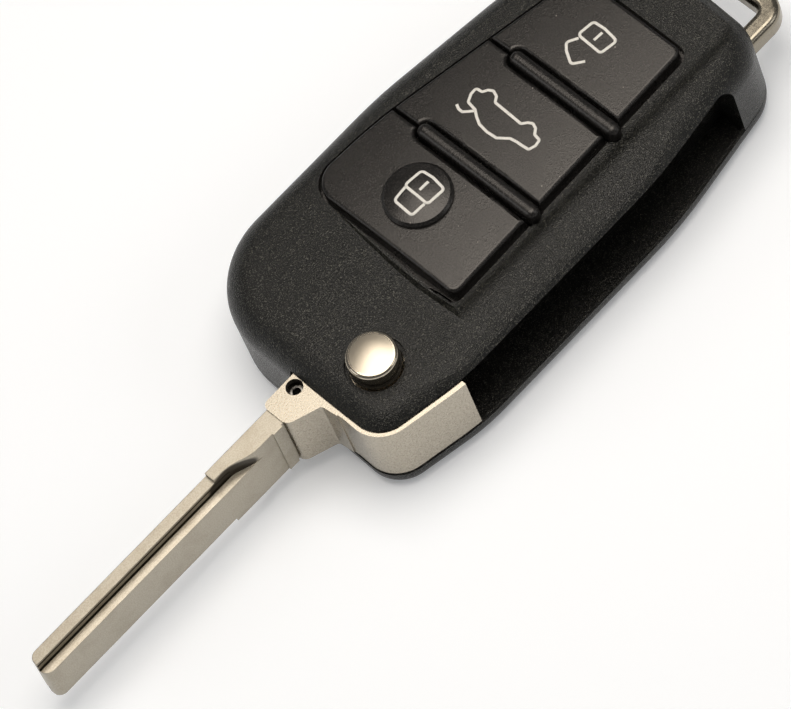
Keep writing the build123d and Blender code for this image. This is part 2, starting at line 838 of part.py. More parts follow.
# Button frame: a plate on legs, with the bars that show between the buttons
board_high_z = board_low_z + board_thick
frame_high_z = button_low_z - button_travel - seat_gap
frame_low_z = frame_high_z - frame_thick
mat_low_z = frame_low_z - mat_thick
leg_places = [
    (pad_near_x - 2 * frame_leg_r, pad_slot_y - frame_leg_r),
    (pad_far_x + 2 * frame_leg_r, pad_slot_far_y - frame_leg_r),
    (pad_near_x - 2 * frame_leg_r, pad_bend_y + 2 * frame_leg_r),
    (pad_far_x + 2 * frame_leg_r, pad_far_y + 2 * frame_leg_r),
]
with BuildPart() as button_frame:
    with BuildSketch(Plane.XY.offset(frame_low_z)):
        add(flange_plan.sketch)
        with Locations(*stem_places.values()):
            Circle(frame_window_r, mode=Mode.SUBTRACT)
    extrude(amount=frame_thick)
    with BuildSketch(Plane.XY.offset(frame_high_z)):
        add(bar_body_plan)
    extrude(amount=bar_end_z - frame_high_z)
    with BuildSketch(Plane.XY.offset(bar_end_z)):
        add(bar_top_plan)
    extrude(amount=bar_top_z - bar_end_z)
    fillet(button_frame.faces().group_by(Axis.Z)[-1].edges(), bar_half_width - seat_gap)
    with BuildSketch(Plane.XY.offset(board_high_z)):
        with Locations(*leg_places):
            Circle(frame_leg_r)
    extrude(amount=frame_low_z - board_high_z)
button_frame.part.label = "button_frame"
export_step(button_frame.part, "parts/button_frame.step")

# Seal mat under the button frame
with BuildPart() as seal_mat:
    with BuildSketch(Plane.XY.offset(mat_low_z)):
        add(flange_plan.sketch)
        with Locations(*stem_places.values()):
            Circle(mat_window_r, mode=Mode.SUBTRACT)
        with Locations(*leg_places):
            Circle(frame_leg_r + seat_gap, mode=Mode.SUBTRACT)
    extrude(amount=mat_thick)
seal_mat.part.label = "seal_mat"
export_step(seal_mat.part, "parts/seal_mat.step")

# Circuit board
with BuildPart() as circuit_board:
    with BuildSketch(Plane.XY.offset(board_low_z)):
        add(tray_plan.sketch)
    extrude(amount=board_thick)
circuit_board.part.label = "circuit_board"
export_step(circuit_board.part, "parts/circuit_board.step")

# Push switches, one under each button's stem
for name, stem_place in stem_places.items():
    with BuildPart() as switch:
        with BuildSketch(Plane.XY.offset(board_high_z)):
            with Locations(stem_place):
                Rectangle(switch_length, switch_width)
        extrude(amount=switch_height)
        chamfer(switch.faces().sort_by(Axis.Z)[-1].edges(), seat_gap)
        with BuildSketch(Plane.XY.offset(board_high_z + switch_height)):
            with Locations(stem_place):
                Circle(plunger_r)
        extrude(amount=plunger_height)
    switch.part.label = "switch_" + name
    export_step(switch.part, "parts/switch_" + name + ".step")

# Control chip under the board, with a row of pins on two sides
pin_row_y = chip_side / 2 + chip_pin_reach / 2
with BuildPart() as control_chip:
    with BuildSketch(Plane.XY.offset(board_low_z - chip_height)):
        with Locations((chip_x, chip_y)):
            Rectangle(chip_side, chip_side)
    extrude(amount=chip_height)
    with BuildSketch(Plane.XY.offset(board_low_z - clip_thick)):
        for side in (-1, 1):
            with Locations((chip_x, chip_y + side * pin_row_y)):
                with GridLocations(chip_pin_pitch, 0, chip_pins, 1):
                    Rectangle(chip_pin_width, chip_pin_reach)
    extrude(amount=clip_thick)
control_chip.part.label = "control_chip"
export_step(control_chip.part, "parts/control_chip.step")

# Crystal can on the board
with BuildPart() as crystal:
    with BuildSketch(Plane.XY.offset(board_high_z)):
        with Locations((crystal_x, crystal_y)):
            RectangleRounded(crystal_length, crystal_width, crystal_corner_r)
    extrude(amount=crystal_height)
crystal.part.label = "crystal"
export_step(crystal.part, "parts/crystal.step")

# Antenna coil under the board: a ferrite bobbin with its winding
coil_mid_z = board_low_z - coil_width / 2
with BuildPart() as antenna_coil:
    with BuildSketch(Plane.YZ.offset(coil_x - coil_length / 2)):
        with Locations((coil_y, coil_mid_z)):
            Rectangle(coil_width, coil_width)
    extrude(amount=coil_flange)
    with BuildSketch(Plane.YZ.offset(coil_x + coil_length / 2 - coil_flange)):
        with Locations((coil_y, coil_mid_z)):
            Rectangle(coil_width, coil_width)
    extrude(amount=coil_flange)
    with BuildSketch(Plane.YZ.offset(coil_x - coil_length / 2)):
        with Locations((coil_y, coil_mid_z)):
            Circle(coil_core / 2 + coil_flange / 2)
    extrude(amount=coil_length)
antenna_coil.part.label = "antenna_coil"
export_step(antenna_coil.part, "parts/antenna_coil.step")

# Inner carrier: floor, outer wall up to the board and a ring round the coin cell
ring_out_r = cell_r + cell_gap + tray_wall
tray_top_z = back_floor + tray_floor
with BuildPart() as inner_carrier:
    with BuildSketch(Plane.XY.offset(back_floor)):
        add(tray_plan.sketch)
    extrude(amount=board_low_z - back_floor)
    with BuildSketch(Plane.XY.offset(tray_top_z)):
        add(tray_plan.sketch)
        offset(amount=-tray_wall)
    extrude(amount=board_low_z - tray_top_z, mode=Mode.SUBTRACT)
    with BuildSketch(Plane.XY.offset(tray_top_z)):
        add(tray_plan.sketch)
        with Locations((cell_x, cell_y)):
            Circle(ring_out_r, mode=Mode.INTERSECT)
    extrude(amount=cell_low_z + cell_thick - cell_cap_step - tray_top_z)
    with BuildSketch(Plane.XY.offset(tray_top_z)):
        with Locations((cell_x, cell_y)):
            Circle(cell_r + cell_gap)
    extrude(amount=board_low_z - tray_top_z, mode=Mode.SUBTRACT)
inner_carrier.part.label = "inner_carrier"
export_step(inner_carrier.part, "parts/inner_carrier.step")

# Coin cell, a can with a smaller cap underneath
with BuildPart() as coin_cell:
    with BuildSketch(Plane.XY.offset(cell_low_z)):
        with Locations((cell_x, cell_y)):
            Circle(cell_cap_r)
    extrude(amount=cell_cap_step)
    with BuildSketch(Plane.XY.offset(cell_low_z + cell_cap_step)):
        with Locations((cell_x, cell_y)):
            Circle(cell_r)
    extrude(amount=cell_thick - cell_cap_step)
    fillet(coin_cell.edges().group_by(Axis.Z)[-1], cell_cap_step)
coin_cell.part.label = "coin_cell"
export_step(coin_cell.part, "parts/coin_cell.step")

# Cell contacts: bent strips, one from the tray's floor to the cell, one from the board
contact_levels = {
    "battery_clip_minus": (tray_top_z, cell_low_z),
    "battery_clip_plus": (board_low_z, cell_low_z + cell_thick),
}
for name, (seat_z, touch_z) in contact_levels.items():
    up = 1 if touch_z > seat_z else -1
    seat = seat_z + up * clip_thick / 2
    touch = touch_z - up * clip_thick / 2
    with BuildPart() as battery_clip:
        with BuildSketch(Plane((0, cell_y, 0), x_dir=(1, 0, 0), z_dir=(0, -1, 0))):
            with BuildLine():
                Polyline(
                    (cell_x - clip_reach, seat),
                    (cell_x - clip_reach / 2, seat),
                    (cell_x - clip_thick, touch),
                    (cell_x + clip_thick, touch),
                    (cell_x + clip_reach / 2, seat),
                    (cell_x + clip_reach, seat),
                )
            trace(line_width=clip_thick)
        extrude(amount=clip_width / 2, both=True)
    battery_clip.part.label = name
    export_step(battery_clip.part, "parts/" + name + ".step")

# Transponder, a wedge-ended block on the tray's floor
with BuildPart() as transponder:
    with BuildSketch(Plane((0, transponder_y, 0), x_dir=(1, 0, 0), z_dir=(0, -1, 0))):
        with BuildLine():
            Polyline(
                (transponder_x, tray_top_z),
                (transponder_x + transponder_length, tray_top_z),
                (transponder_x + transponder_length, tray_top_z + transponder_thick),
                (transponder_x + transponder_nose, tray_top_z + transponder_thick),
                (transponder_x, tray_top_z + transponder_thick / 2),
                close=True,
            )
        make_face()
    extrude(amount=transponder_width / 2, both=True)
transponder.part.label = "transponder"
export_step(transponder.part, "parts/transponder.step")

# Key ring bail: a flat ring, open between its two feet inside the case
bail_mid_x = (bail_far_x + bail_foot_x) / 2
bail_mid_y = (bail_slot_y + bail_hand_y) / 2
bail_length = bail_foot_x - bail_far_x
bail_span = bail_slot_y - bail_hand_y
with BuildPart() as ring_bail:
    with BuildSketch(Plane.XY.offset(bail_low_z)):
        with Locations((bail_mid_x, bail_mid_y)):
            RectangleRounded(bail_length, bail_span, bail_corner_r)
            RectangleRounded(
                bail_length - 2 * bail_width,
                bail_span - 2 * bail_width,
                bail_inner_corner_r,
                mode=Mode.SUBTRACT,
            )
        with Locations((bail_foot_x, sum(bail_foot_gap_y) / 2)):
            Rectangle(
                bail_length, bail_foot_gap_y[1] - bail_foot_gap_y[0], mode=Mode.SUBTRACT
            )
    extrude(amount=bail_height)
    fillet(ring_bail.edges().filter_by(Plane.XY), bail_edge_r)
ring_bail.part.label = "ring_bail"
export_step(ring_bail.part, "parts/ring_bail.step")

# Case screw, driven from the back, with a cross slot in its head
screw_low_z = screw_seat_z - screw_head_height
with BuildPart() as case_screw:
    with BuildSketch(Plane.XY.offset(screw_low_z)):
        with Locations((screw_x, screw_y)):
            Circle(screw_head_r)
    extrude(amount=screw_head_height)
    with BuildSketch(Plane.XY.offset(screw_seat_z)):
        with Locations((screw_x, screw_y)):
            Circle(screw_shank_r)
    extrude(amount=screw_length)
    chamfer(case_screw.edges().group_by(Axis.Z)[-1], screw_shank_r / 2)
    with BuildSketch(Plane.XY.offset(screw_low_z)):
        with Locations((screw_x, screw_y)):
            Rectangle(screw_head_r, screw_slot_width)
            Rectangle(screw_slot_width, screw_head_r)
    extrude(amount=screw_slot_depth, mode=Mode.SUBTRACT)
case_screw.part.label = "case_screw"
export_step(case_screw.part, "parts/case_screw.step")
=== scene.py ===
import math

import bpy
from mathutils import Matrix, Vector


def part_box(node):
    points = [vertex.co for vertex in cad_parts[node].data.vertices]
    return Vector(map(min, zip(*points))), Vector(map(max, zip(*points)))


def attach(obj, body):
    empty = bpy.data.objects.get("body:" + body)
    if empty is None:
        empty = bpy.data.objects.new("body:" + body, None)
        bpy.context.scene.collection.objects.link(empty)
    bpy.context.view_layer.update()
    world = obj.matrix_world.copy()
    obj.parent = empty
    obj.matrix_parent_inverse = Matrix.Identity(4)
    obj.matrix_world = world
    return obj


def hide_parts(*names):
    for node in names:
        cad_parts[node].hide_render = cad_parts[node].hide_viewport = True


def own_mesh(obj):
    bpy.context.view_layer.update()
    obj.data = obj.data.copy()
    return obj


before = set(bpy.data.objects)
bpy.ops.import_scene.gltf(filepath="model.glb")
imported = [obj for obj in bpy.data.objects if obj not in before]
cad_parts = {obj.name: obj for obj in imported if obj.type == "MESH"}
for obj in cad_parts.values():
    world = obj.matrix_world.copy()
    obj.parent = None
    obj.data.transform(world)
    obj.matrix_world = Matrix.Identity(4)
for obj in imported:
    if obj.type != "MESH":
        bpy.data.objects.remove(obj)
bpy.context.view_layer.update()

# Table top and light
# A pale table of matt laminate under one broad softbox that hangs nearly overhead, a little
# towards the fob's tail, with a weaker one on each side. The table has a faint glow that only
# the camera and shiny pieces see, so it shows white and keeps the fob's shadow.
MM = 0.001


def linear(hex_colour):
    """An sRGB hex colour as the linear RGBA that Blender's sockets take, by the sRGB standard."""
    channels = [int(hex_colour[i : i + 2], 16) / 255 for i in (1, 3, 5)]
    return [c / 12.92 if c <= 0.04045 else ((c + 0.055) / 1.055) ** 2.4 for c in channels] + [1.0]


def add(tree, kind, inputs=None, **settings):
    """Adds one node. A socket among the inputs is linked, and anything else is set as its value."""
    made = tree.nodes.new(kind)
    for name, value in settings.items():
        setattr(made, name, value)
    for name, value in (inputs or {}).items():
        socket = made.inputs[name]
        if isinstance(value, bpy.types.NodeSocket):
            tree.links.new(value, socket)
        else:
            socket.default_value = value
    return made


def new_material(name):
    """An empty node material, its tree, its Object coordinates and its output node."""
    made = bpy.data.materials.new(name)
    made.use_nodes = True
    nodes = made.node_tree.nodes
    nodes.clear()
    place = nodes.new("ShaderNodeTexCoord").outputs["Object"]
    return made, made.node_tree, place, nodes.new("ShaderNodeOutputMaterial")


def mesh_object(name, vertices, faces, edges=()):
    """A mesh object at the origin, in metres, from vertices in millimetres."""
    mesh = bpy.data.meshes.new(name)
    mesh.from_pydata([Vector(v) * MM for v in vertices], edges, faces)
    mesh.update()
    made = bpy.data.objects.new(name, mesh)
    bpy.context.scene.collection.objects.link(made)
    return made


TABLE_COLOUR = "#eef1f5"
TABLE_GLOW = 0.2
TABLE_HALF_MM = 900
TABLE_FIBRE_MM = 0.5
TABLE_TOOTH_MM = 0.01
table = mesh_object(
    "table_top",
    [(x * TABLE_HALF_MM, y * TABLE_HALF_MM, 0) for x, y in ((-1, -1), (1, -1), (1, 1), (-1, 1))],
    [(0, 1, 2, 3)],
)
table_paint, tree, place, output = new_material("Matt white table laminate")
rays = add(tree, "ShaderNodeLightPath")
seen = rays.outputs["Is Camera Ray"]
for ray in ("Is Glossy Ray", "Is Transmission Ray"):
    either = add(tree, "ShaderNodeMath", {0: seen, 1: rays.outputs[ray]}, operation="MAXIMUM")
    seen = either.outputs[0]
lift = add(tree, "ShaderNodeMath", {0: seen, 1: TABLE_GLOW}, operation="MULTIPLY")
fibre = add(
    tree, "ShaderNodeTexNoise", {"Vector": place, "Scale": 1 / (TABLE_FIBRE_MM * MM), "Detail": 2.0}
)
tooth = add(
    tree,
    "ShaderNodeBump",
    {"Height": fibre.outputs["Fac"], "Strength": 0.05, "Distance": TABLE_TOOTH_MM * MM},
)
matt = add(
    tree, "ShaderNodeBsdfDiffuse", {"Color": linear(TABLE_COLOUR), "Normal": tooth.outputs["Normal"]}
)
glow = add(tree, "ShaderNodeEmission", {"Strength": lift.outputs[0]})
both = add(tree, "ShaderNodeAddShader", {0: matt.outputs[0], 1: glow.outputs[0]})
tree.links.new(both.outputs[0], output.inputs["Surface"])
table.data.materials.append(table_paint)

MAIN_LIGHT_COLOUR = "#fff8ef"
SIDE_LIGHT_COLOUR = "#ffffff"
ROOM_COLOUR = "#ececec"
ROOM_STRENGTH = 0.2
LIGHT_AIM_MM = (-12, -8, 8)


def softbox(name, azimuth, elevation, distance_mm, size_mm, watts, colour):
    """A square lamp that faces the fob from a compass direction and a height angle in degrees."""
    light = bpy.data.lights.new(name, "AREA")
    light.shape = "SQUARE"
    light.size = size_mm * MM
    light.energy = watts
    light.color = linear(colour)[:3]
    lamp = bpy.data.objects.new(name, light)
    a, e = math.radians(azimuth), math.radians(elevation)
    away = Vector((math.cos(e) * math.cos(a), math.cos(e) * math.sin(a), math.sin(e)))
    lamp.location = Vector(LIGHT_AIM_MM) * MM + away * distance_mm * MM
    lamp.rotation_euler = away.to_track_quat("Z", "Y").to_euler()
    bpy.context.scene.collection.objects.link(lamp)


softbox(
    "main_softbox",
    azimuth=205,
    elevation=83,
    distance_mm=350,
    size_mm=290,
    watts=1.1,
    colour=MAIN_LIGHT_COLOUR,
)
for name, azimuth, elevation in (("right_softbox", 130, 34), ("left_softbox", 330, 30)):
    softbox(
        name, azimuth, elevation, distance_mm=700, size_mm=300, watts=0.45, colour=SIDE_LIGHT_COLOUR
    )
room = bpy.data.worlds.new("pale_room")
bpy.context.scene.world = room
room.use_nodes = True
backdrop = room.node_tree.nodes["Background"]
backdrop.inputs["Color"].default_value = linear(ROOM_COLOUR)
backdrop.inputs["Strength"].default_value = ROOM_STRENGTH
bpy.context.scene.view_settings.view_transform = "Standard"

# Camera
# A long lens that looks down at the fob from beside its blade slot, rolled so that the blade
# points at the picture's lower left corner. The angles are in degrees, and the aim is the point
# on the table that shows in the picture's middle.
IMAGE_WIDTH = 791
FOCAL_PIXELS = 7000
PIXELS_PER_MM = 8.53
SENSOR_MM = 36
CAMERA_AIM_MM = (-5.79, -6.83, 0)
VIEW_AZIMUTH = 66.11
VIEW_HEIGHT = 59.82
VIEW_ROLL = -24.74
view_azimuth, view_height, view_roll = map(math.radians, (VIEW_AZIMUTH, VIEW_HEIGHT, VIEW_ROLL))
away = Vector(
    (
        math.cos(view_height) * math.cos(view_azimuth),
        math.cos(view_height) * math.sin(view_azimuth),
        math.sin(view_height),
    )
)
level_right = Vector((-math.sin(view_azimuth), math.cos(view_azimuth), 0))
level_up = away.cross(level_right)
right = math.cos(view_roll) * level_right + math.sin(view_roll) * level_up
up = away.cross(right)
lens = bpy.data.cameras.new("product_camera")
lens.sensor_width = SENSOR_MM
lens.sensor_fit = "HORIZONTAL"
lens.lens = FOCAL_PIXELS / IMAGE_WIDTH * SENSOR_MM
camera = bpy.data.objects.new("product_camera", lens)
spot = (Vector(CAMERA_AIM_MM) + away * FOCAL_PIXELS / PIXELS_PER_MM) * MM
camera.matrix_world = Matrix.Translation(spot) @ Matrix((right, up, away)).transposed().to_4x4()
bpy.context.scene.collection.objects.link(camera)
bpy.context.scene.camera = camera

# Case
# Front and back shell, injection moulded in black ABS. The mould was spark eroded, so the
# skin is matt with fine round pits whose rims are glossier, hands have rubbed it a bit smoother
# in patches, a few specks of dust lie in it, and the grain's crests are painted lighter as glints.
SHELL_COLOUR = "#070705"
# The painted glint colour on the grain's crests.
SHELL_GLINT_COLOUR = "#585750"
SHELL_DUST_COLOUR = "#6b6a66"
# Real pits are about 0.1 mm across. They and the grain between them are drawn coarser to show.
SHELL_PIT_MM = 0.24
SHELL_GRAIN_MM = 0.145
SHELL_PIT_SHARE = 0.4
SHELL_RELIEF_MM = 0.1
SHELL_RUB_MM = 9
SHELL_DUST_MM = 1.4
SHELL_DUST_FREE_SHARE = 0.88
# Less than the 1.54 of smooth ABS, because the pits swallow part of the shine.
SHELL_IOR = 1.38
# The sockets of a Mix node that mixes colours: its two colours and its result.
COLOUR_A, COLOUR_B, MIXED = 6, 7, 2


def finish_nodes(material, *nodes):
    """Gives CAD nodes a material in place of the plain one that they were packed with."""
    for node in nodes:
        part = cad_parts[node]
        part.data.materials.clear()
        part.data.materials.append(material)


shell_abs, tree, place, output = new_material("Spark-eroded black ABS")
pits = add(
    tree,
    "ShaderNodeTexVoronoi",
    {"Vector": place, "Scale": 1 / (SHELL_PIT_MM * MM), "Smoothness": 0.6},
    feature="SMOOTH_F1",
)
grain = add(
    tree,
    "ShaderNodeTexNoise",
    {"Vector": place, "Scale": 1 / (SHELL_GRAIN_MM * MM), "Detail": 1.0, "Roughness": 0.5},
)
height = add(
    tree,
    "ShaderNodeMath",
    {0: pits.outputs["Distance"], 1: SHELL_PIT_SHARE, 2: grain.outputs["Fac"]},
    operation="MULTIPLY_ADD",
)
relief = add(
    tree,
    "ShaderNodeBump",
    {"Height": height.outputs[0], "Strength": 1.0, "Distance": SHELL_RELIEF_MM * MM},
)
rub = add(
    tree, "ShaderNodeTexNoise", {"Vector": place, "Scale": 1 / (SHELL_RUB_MM * MM), "Detail": 3.0}
)
gloss = add(
    tree,
    "ShaderNodeMapRange",
    {"Value": rub.outputs["Fac"], "From Min": 0.3, "From Max": 0.7, "To Min": 0.0, "To Max": 0.1},
)
rims = add(
    tree,
    "ShaderNodeMapRange",
    {"Value": grain.outputs["Fac"], "From Min": 0.35, "From Max": 0.65, "To Min": 0.36, "To Max": 0.2},
)
gloss = add(tree, "ShaderNodeMath", {0: gloss.outputs["Result"], 1: rims.outputs["Result"]})
specks = add(
    tree, "ShaderNodeTexVoronoi", {"Vector": place, "Scale": 1 / (SHELL_DUST_MM * MM)}, feature="F1"
)
few = add(tree, "ShaderNodeSeparateXYZ", {0: specks.outputs["Color"]})
few = add(
    tree, "ShaderNodeMath", {0: few.outputs["X"], 1: SHELL_DUST_FREE_SHARE}, operation="GREATER_THAN"
)
near_speck = add(
    tree,
    "ShaderNodeMapRange",
    {
        "Value": specks.outputs["Distance"],
        "From Min": 0.04,
        "From Max": 0.07,
        "To Min": 0.6,
        "To Max": 0.0,
    },
)
near_speck = add(
    tree, "ShaderNodeMath", {0: near_speck.outputs["Result"], 1: few.outputs[0]}, operation="MULTIPLY"
)
# Painted glints: where the grain is high, the skin is painted a lighter grey.
painted_glints = add(
    tree,
    "ShaderNodeMapRange",
    {"Value": grain.outputs["Fac"], "From Min": 0.56, "From Max": 0.72, "To Min": 0.0, "To Max": 1.0},
)
skin = add(
    tree,
    "ShaderNodeMix",
    {
        "Factor": painted_glints.outputs["Result"],
        COLOUR_A: linear(SHELL_COLOUR),
        COLOUR_B: linear(SHELL_GLINT_COLOUR),
    },
    data_type="RGBA",
)
coat = add(
    tree,
    "ShaderNodeMix",
    {
        "Factor": near_speck.outputs[0],
        COLOUR_A: skin.outputs[MIXED],
        COLOUR_B: linear(SHELL_DUST_COLOUR),
    },
    data_type="RGBA",
)
abs_shader = add(
    tree,
    "ShaderNodeBsdfPrincipled",
    {
        "Base Color": coat.outputs[MIXED],
        "Roughness": gloss.outputs[0],
        "IOR": SHELL_IOR,
        "Normal": relief.outputs["Normal"],
    },
)
tree.links.new(abs_shader.outputs[0], output.inputs["Surface"])
finish_nodes(shell_abs, "front_shell", "back_shell")

# Buttons and the bars between them
# Moulded ABS sprayed with a black soft-touch lacquer, which gives a satin skin with one broad
# soft shine, a fine orange peel whose crests are painted greyer as highlights, and specks of dust that
# cling to it.
BUTTON_COLOUR = "#060605"
# Painted highlight on the orange peel's crests.
BUTTON_CREST_HIGHLIGHT_COLOUR = "#262423"
BUTTON_DUST_COLOUR = "#8b857d"
# Real orange peel is about 0.1 mm from crest to crest, and it is drawn coarser to show.
PEEL_MM = 0.2
PEEL_RELIEF_MM = 0.03
SHADE_MM = 7
BUTTON_DUST_MM = 1.1
BUTTON_DUST_FREE_SHARE = 0.85
BUTTON_SHEEN_COLOUR = "#fffaf5"
LACQUER_IOR = 1.5
button_lacquer, tree, place, output = new_material("Soft-touch lacquer on ABS")
peel = add(
    tree,
    "ShaderNodeTexNoise",
    {"Vector": place, "Scale": 1 / (PEEL_MM * MM), "Detail": 3.0, "Roughness": 0.6},
)
relief = add(
    tree,
    "ShaderNodeBump",
    {"Height": peel.outputs["Fac"], "Strength": 1.0, "Distance": PEEL_RELIEF_MM * MM},
)
dust = add(
    tree, "ShaderNodeTexVoronoi", {"Vector": place, "Scale": 1 / (BUTTON_DUST_MM * MM)}, feature="F1"
)
few = add(tree, "ShaderNodeSeparateXYZ", {0: dust.outputs["Color"]})
few = add(
    tree, "ShaderNodeMath", {0: few.outputs["X"], 1: BUTTON_DUST_FREE_SHARE}, operation="GREATER_THAN"
)
dusty = add(
    tree,
    "ShaderNodeMapRange",
    {
        "Value": dust.outputs["Distance"],
        "From Min": 0.06,
        "From Max": 0.1,
        "To Min": 0.8,
        "To Max": 0.0,
    },
)
dusty = add(
    tree, "ShaderNodeMath", {0: dusty.outputs["Result"], 1: few.outputs[0]}, operation="MULTIPLY"
)
shade = add(tree, "ShaderNodeTexNoise", {"Vector": place, "Scale": 1 / (SHADE_MM * MM), "Detail": 2.0})
satin = add(
    tree,
    "ShaderNodeMapRange",
    {"Value": shade.outputs["Fac"], "From Min": 0.3, "From Max": 0.7, "To Min": 0.24, "To Max": 0.30},
)
# Painted highlight: the peel's crests are painted greyer.
painted_crest_highlight = add(
    tree,
    "ShaderNodeMapRange",
    {"Value": peel.outputs["Fac"], "From Min": 0.4, "From Max": 0.64, "To Min": 0.0, "To Max": 1.0},
)
coat = add(
    tree,
    "ShaderNodeMix",
    {
        "Factor": painted_crest_highlight.outputs["Result"],
        COLOUR_A: linear(BUTTON_COLOUR),
        COLOUR_B: linear(BUTTON_CREST_HIGHLIGHT_COLOUR),
    },
    data_type="RGBA",
)
coat = add(
    tree,
    "ShaderNodeMix",
    {"Factor": dusty.outputs[0], COLOUR_A: coat.outputs[MIXED], COLOUR_B: linear(BUTTON_DUST_COLOUR)},
    data_type="RGBA",
)
lacquer = add(
    tree,
    "ShaderNodeBsdfPrincipled",
    {
        "Base Color": coat.outputs[MIXED],
        "Roughness": satin.outputs["Result"],
        "IOR": LACQUER_IOR,
        "Specular Tint": linear(BUTTON_SHEEN_COLOUR),
        "Normal": relief.outputs["Normal"],
    },
)
tree.links.new(lacquer.outputs[0], output.inputs["Surface"])
finish_nodes(button_lacquer, "button_lock", "button_boot", "button_unlock", "button_frame")

# Printed icons
# A closed padlock, a car with its boot lid up and an open padlock, pad printed in one thick
# coat of off-white ink that follows the buttons' crown. Each is a list of closed and open lines
# in mm, seen from above, with its corner radius and the crown that it lies on.
INK_COLOUR = "#f4f1ea"
THIN_INK_COLOUR = "#dedad2"
INK_IOR = 1.48
INK_PATCH_MM = 0.25
STROKE_MM = 0.36
INK_THICK_MM = 0.06
PADLOCK_CORNER_MM = 0.45
CAR_CORNER_MM = 0.3
CORNER_POINTS = 5
STROKE_CUTS = 5
BUTTON_CROWN = {"Top": 15.3, "Middle X": 0, "Middle Y": -8.4, "Radius X": 1e6, "Radius Y": 160}
DISC_CROWN = {"Top": 16.45, "Middle X": -18.7, "Middle Y": -11.1, "Radius X": 17.3, "Radius Y": 17.3}
icon_strokes = {
    "padlock_icon": (
        "lock_button",
        PADLOCK_CORNER_MM,
        DISC_CROWN,
        [
            (
                "closed",
                [(-18.45, -12.8), (-21.15, -12.6), (-21.3, -10.9), (-21.05, -8.8), (-18.35, -8.9)],
            ),
            ("open", [(-18.35, -12.55), (-16.3, -12.45), (-16.15, -9.4), (-18.15, -9.2)]),
            ("open", [(-20.55, -10.9), (-19.1, -10.9)]),
        ],
    ),
    "open_boot_icon": (
        "boot_button",
        CAR_CORNER_MM,
        BUTTON_CROWN,
        [
            (
                "closed",
                [
                    (-31.15, -13.8), (-31.4, -15.2), (-32.4, -15.7), (-33.3, -15.75), (-33.4, -14.8),
                    (-34.0, -14.4), (-34.3, -13.8), (-34.0, -13.0), (-33.3, -12.55), (-33.2, -10.3),
                    (-33.1, -8.1), (-33.7, -7.55), (-34.0, -7.0), (-33.75, -6.3), (-33.05, -5.8),
                    (-32.9, -4.85), (-32.05, -4.7), (-31.2, -5.0), (-31.1, -5.9), (-31.05, -6.85),
                    (-30.9, -7.75), (-29.95, -9.1), (-29.85, -10.55), (-30.05, -12.0), (-30.55, -12.95),
                ],
            ),
            (
                "open",
                [(-31.05, -13.7), (-30.55, -14.2), (-30.0, -14.85), (-30.05, -15.5), (-30.35, -16.1)],
            ),
        ],
    ),
    "open_padlock_icon": (
        "unlock_button",
        PADLOCK_CORNER_MM,
        BUTTON_CROWN,
        [
            ("closed", [(-45.9, -11.0), (-48.3, -10.7), (-48.4, -8.95), (-48.1, -6.7), (-45.7, -7.1)]),
            ("open", [(-45.6, -10.6), (-44.3, -11.4), (-43.5, -10.6), (-42.5, -8.9), (-43.8, -7.8)]),
            ("open", [(-47.85, -8.85), (-46.5, -8.95)]),
        ],
    ),
}
icon_ink, tree, place, output = new_material("Off-white pad-printing ink")
wet = add(
    tree, "ShaderNodeTexNoise", {"Vector": place, "Scale": 1 / (INK_PATCH_MM * MM), "Detail": 2.0}
)
tone = add(
    tree,
    "ShaderNodeMix",
    {"Factor": wet.outputs["Fac"], COLOUR_A: linear(THIN_INK_COLOUR), COLOUR_B: linear(INK_COLOUR)},
    data_type="RGBA",
)
ink = add(
    tree,
    "ShaderNodeBsdfPrincipled",
    {"Base Color": tone.outputs[MIXED], "Roughness": 0.5, "IOR": INK_IOR},
)
tree.links.new(ink.outputs[0], output.inputs["Surface"])


def shape_tree(name, sizes):
    """A Geometry Nodes tree with one named input for each size, and its input and output nodes."""
    made = bpy.data.node_groups.new(name, "GeometryNodeTree")
    made.interface.new_socket("Geometry", in_out="INPUT", socket_type="NodeSocketGeometry")
    for size in sizes:
        made.interface.new_socket(size, in_out="INPUT", socket_type="NodeSocketFloat")
    made.interface.new_socket("Geometry", in_out="OUTPUT", socket_type="NodeSocketGeometry")
    return made, made.nodes.new("NodeGroupInput"), made.nodes.new("NodeGroupOutput")


def shaped(source, shape, sizes, body):
    """Runs a tree on a piece, keeps the result as its plain mesh and rides it on a body."""
    modifier = source.modifiers.new(shape.name, "NODES")
    modifier.node_group = shape
    for item in shape.interface.items_tree:
        if item.in_out == "INPUT" and item.name in sizes:
            modifier[item.identifier] = sizes[item.name]
    source.update_tag()
    graph = bpy.context.evaluated_depsgraph_get()
    plain = bpy.data.meshes.new_from_object(source.evaluated_get(graph), depsgraph=graph)
    source.modifiers.clear()
    source.data = plain
    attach(source, body)


printing, given, made = shape_tree("Printed stroke", ("Stroke", "Ink", "Corner", *BUTTON_CROWN))
lines = add(printing, "GeometryNodeMeshToCurve", {"Mesh": given.outputs["Geometry"]})
rounded = add(
    printing,
    "GeometryNodeFilletCurve",
    {
        "Curve": lines.outputs[0],
        "Count": CORNER_POINTS,
        "Radius": given.outputs["Corner"],
        "Limit Radius": True,
    },
    mode="POLY",
)
short = add(printing, "GeometryNodeSubdivideCurve", {"Curve": rounded.outputs[0], "Cuts": STROKE_CUTS})
level = add(printing, "GeometryNodeSetCurveNormal", {"Curve": short.outputs[0]}, mode="Z_UP")
nib = add(
    printing,
    "GeometryNodeCurvePrimitiveQuadrilateral",
    {"Width": given.outputs["Stroke"], "Height": given.outputs["Ink"]},
)
ribbon = add(
    printing,
    "GeometryNodeCurveToMesh",
    {"Curve": level.outputs[0], "Profile Curve": nib.outputs[0], "Fill Caps": True},
)
where = add(printing, "GeometryNodeInputPosition")
axes = add(printing, "ShaderNodeSeparateXYZ", {0: where.outputs[0]})
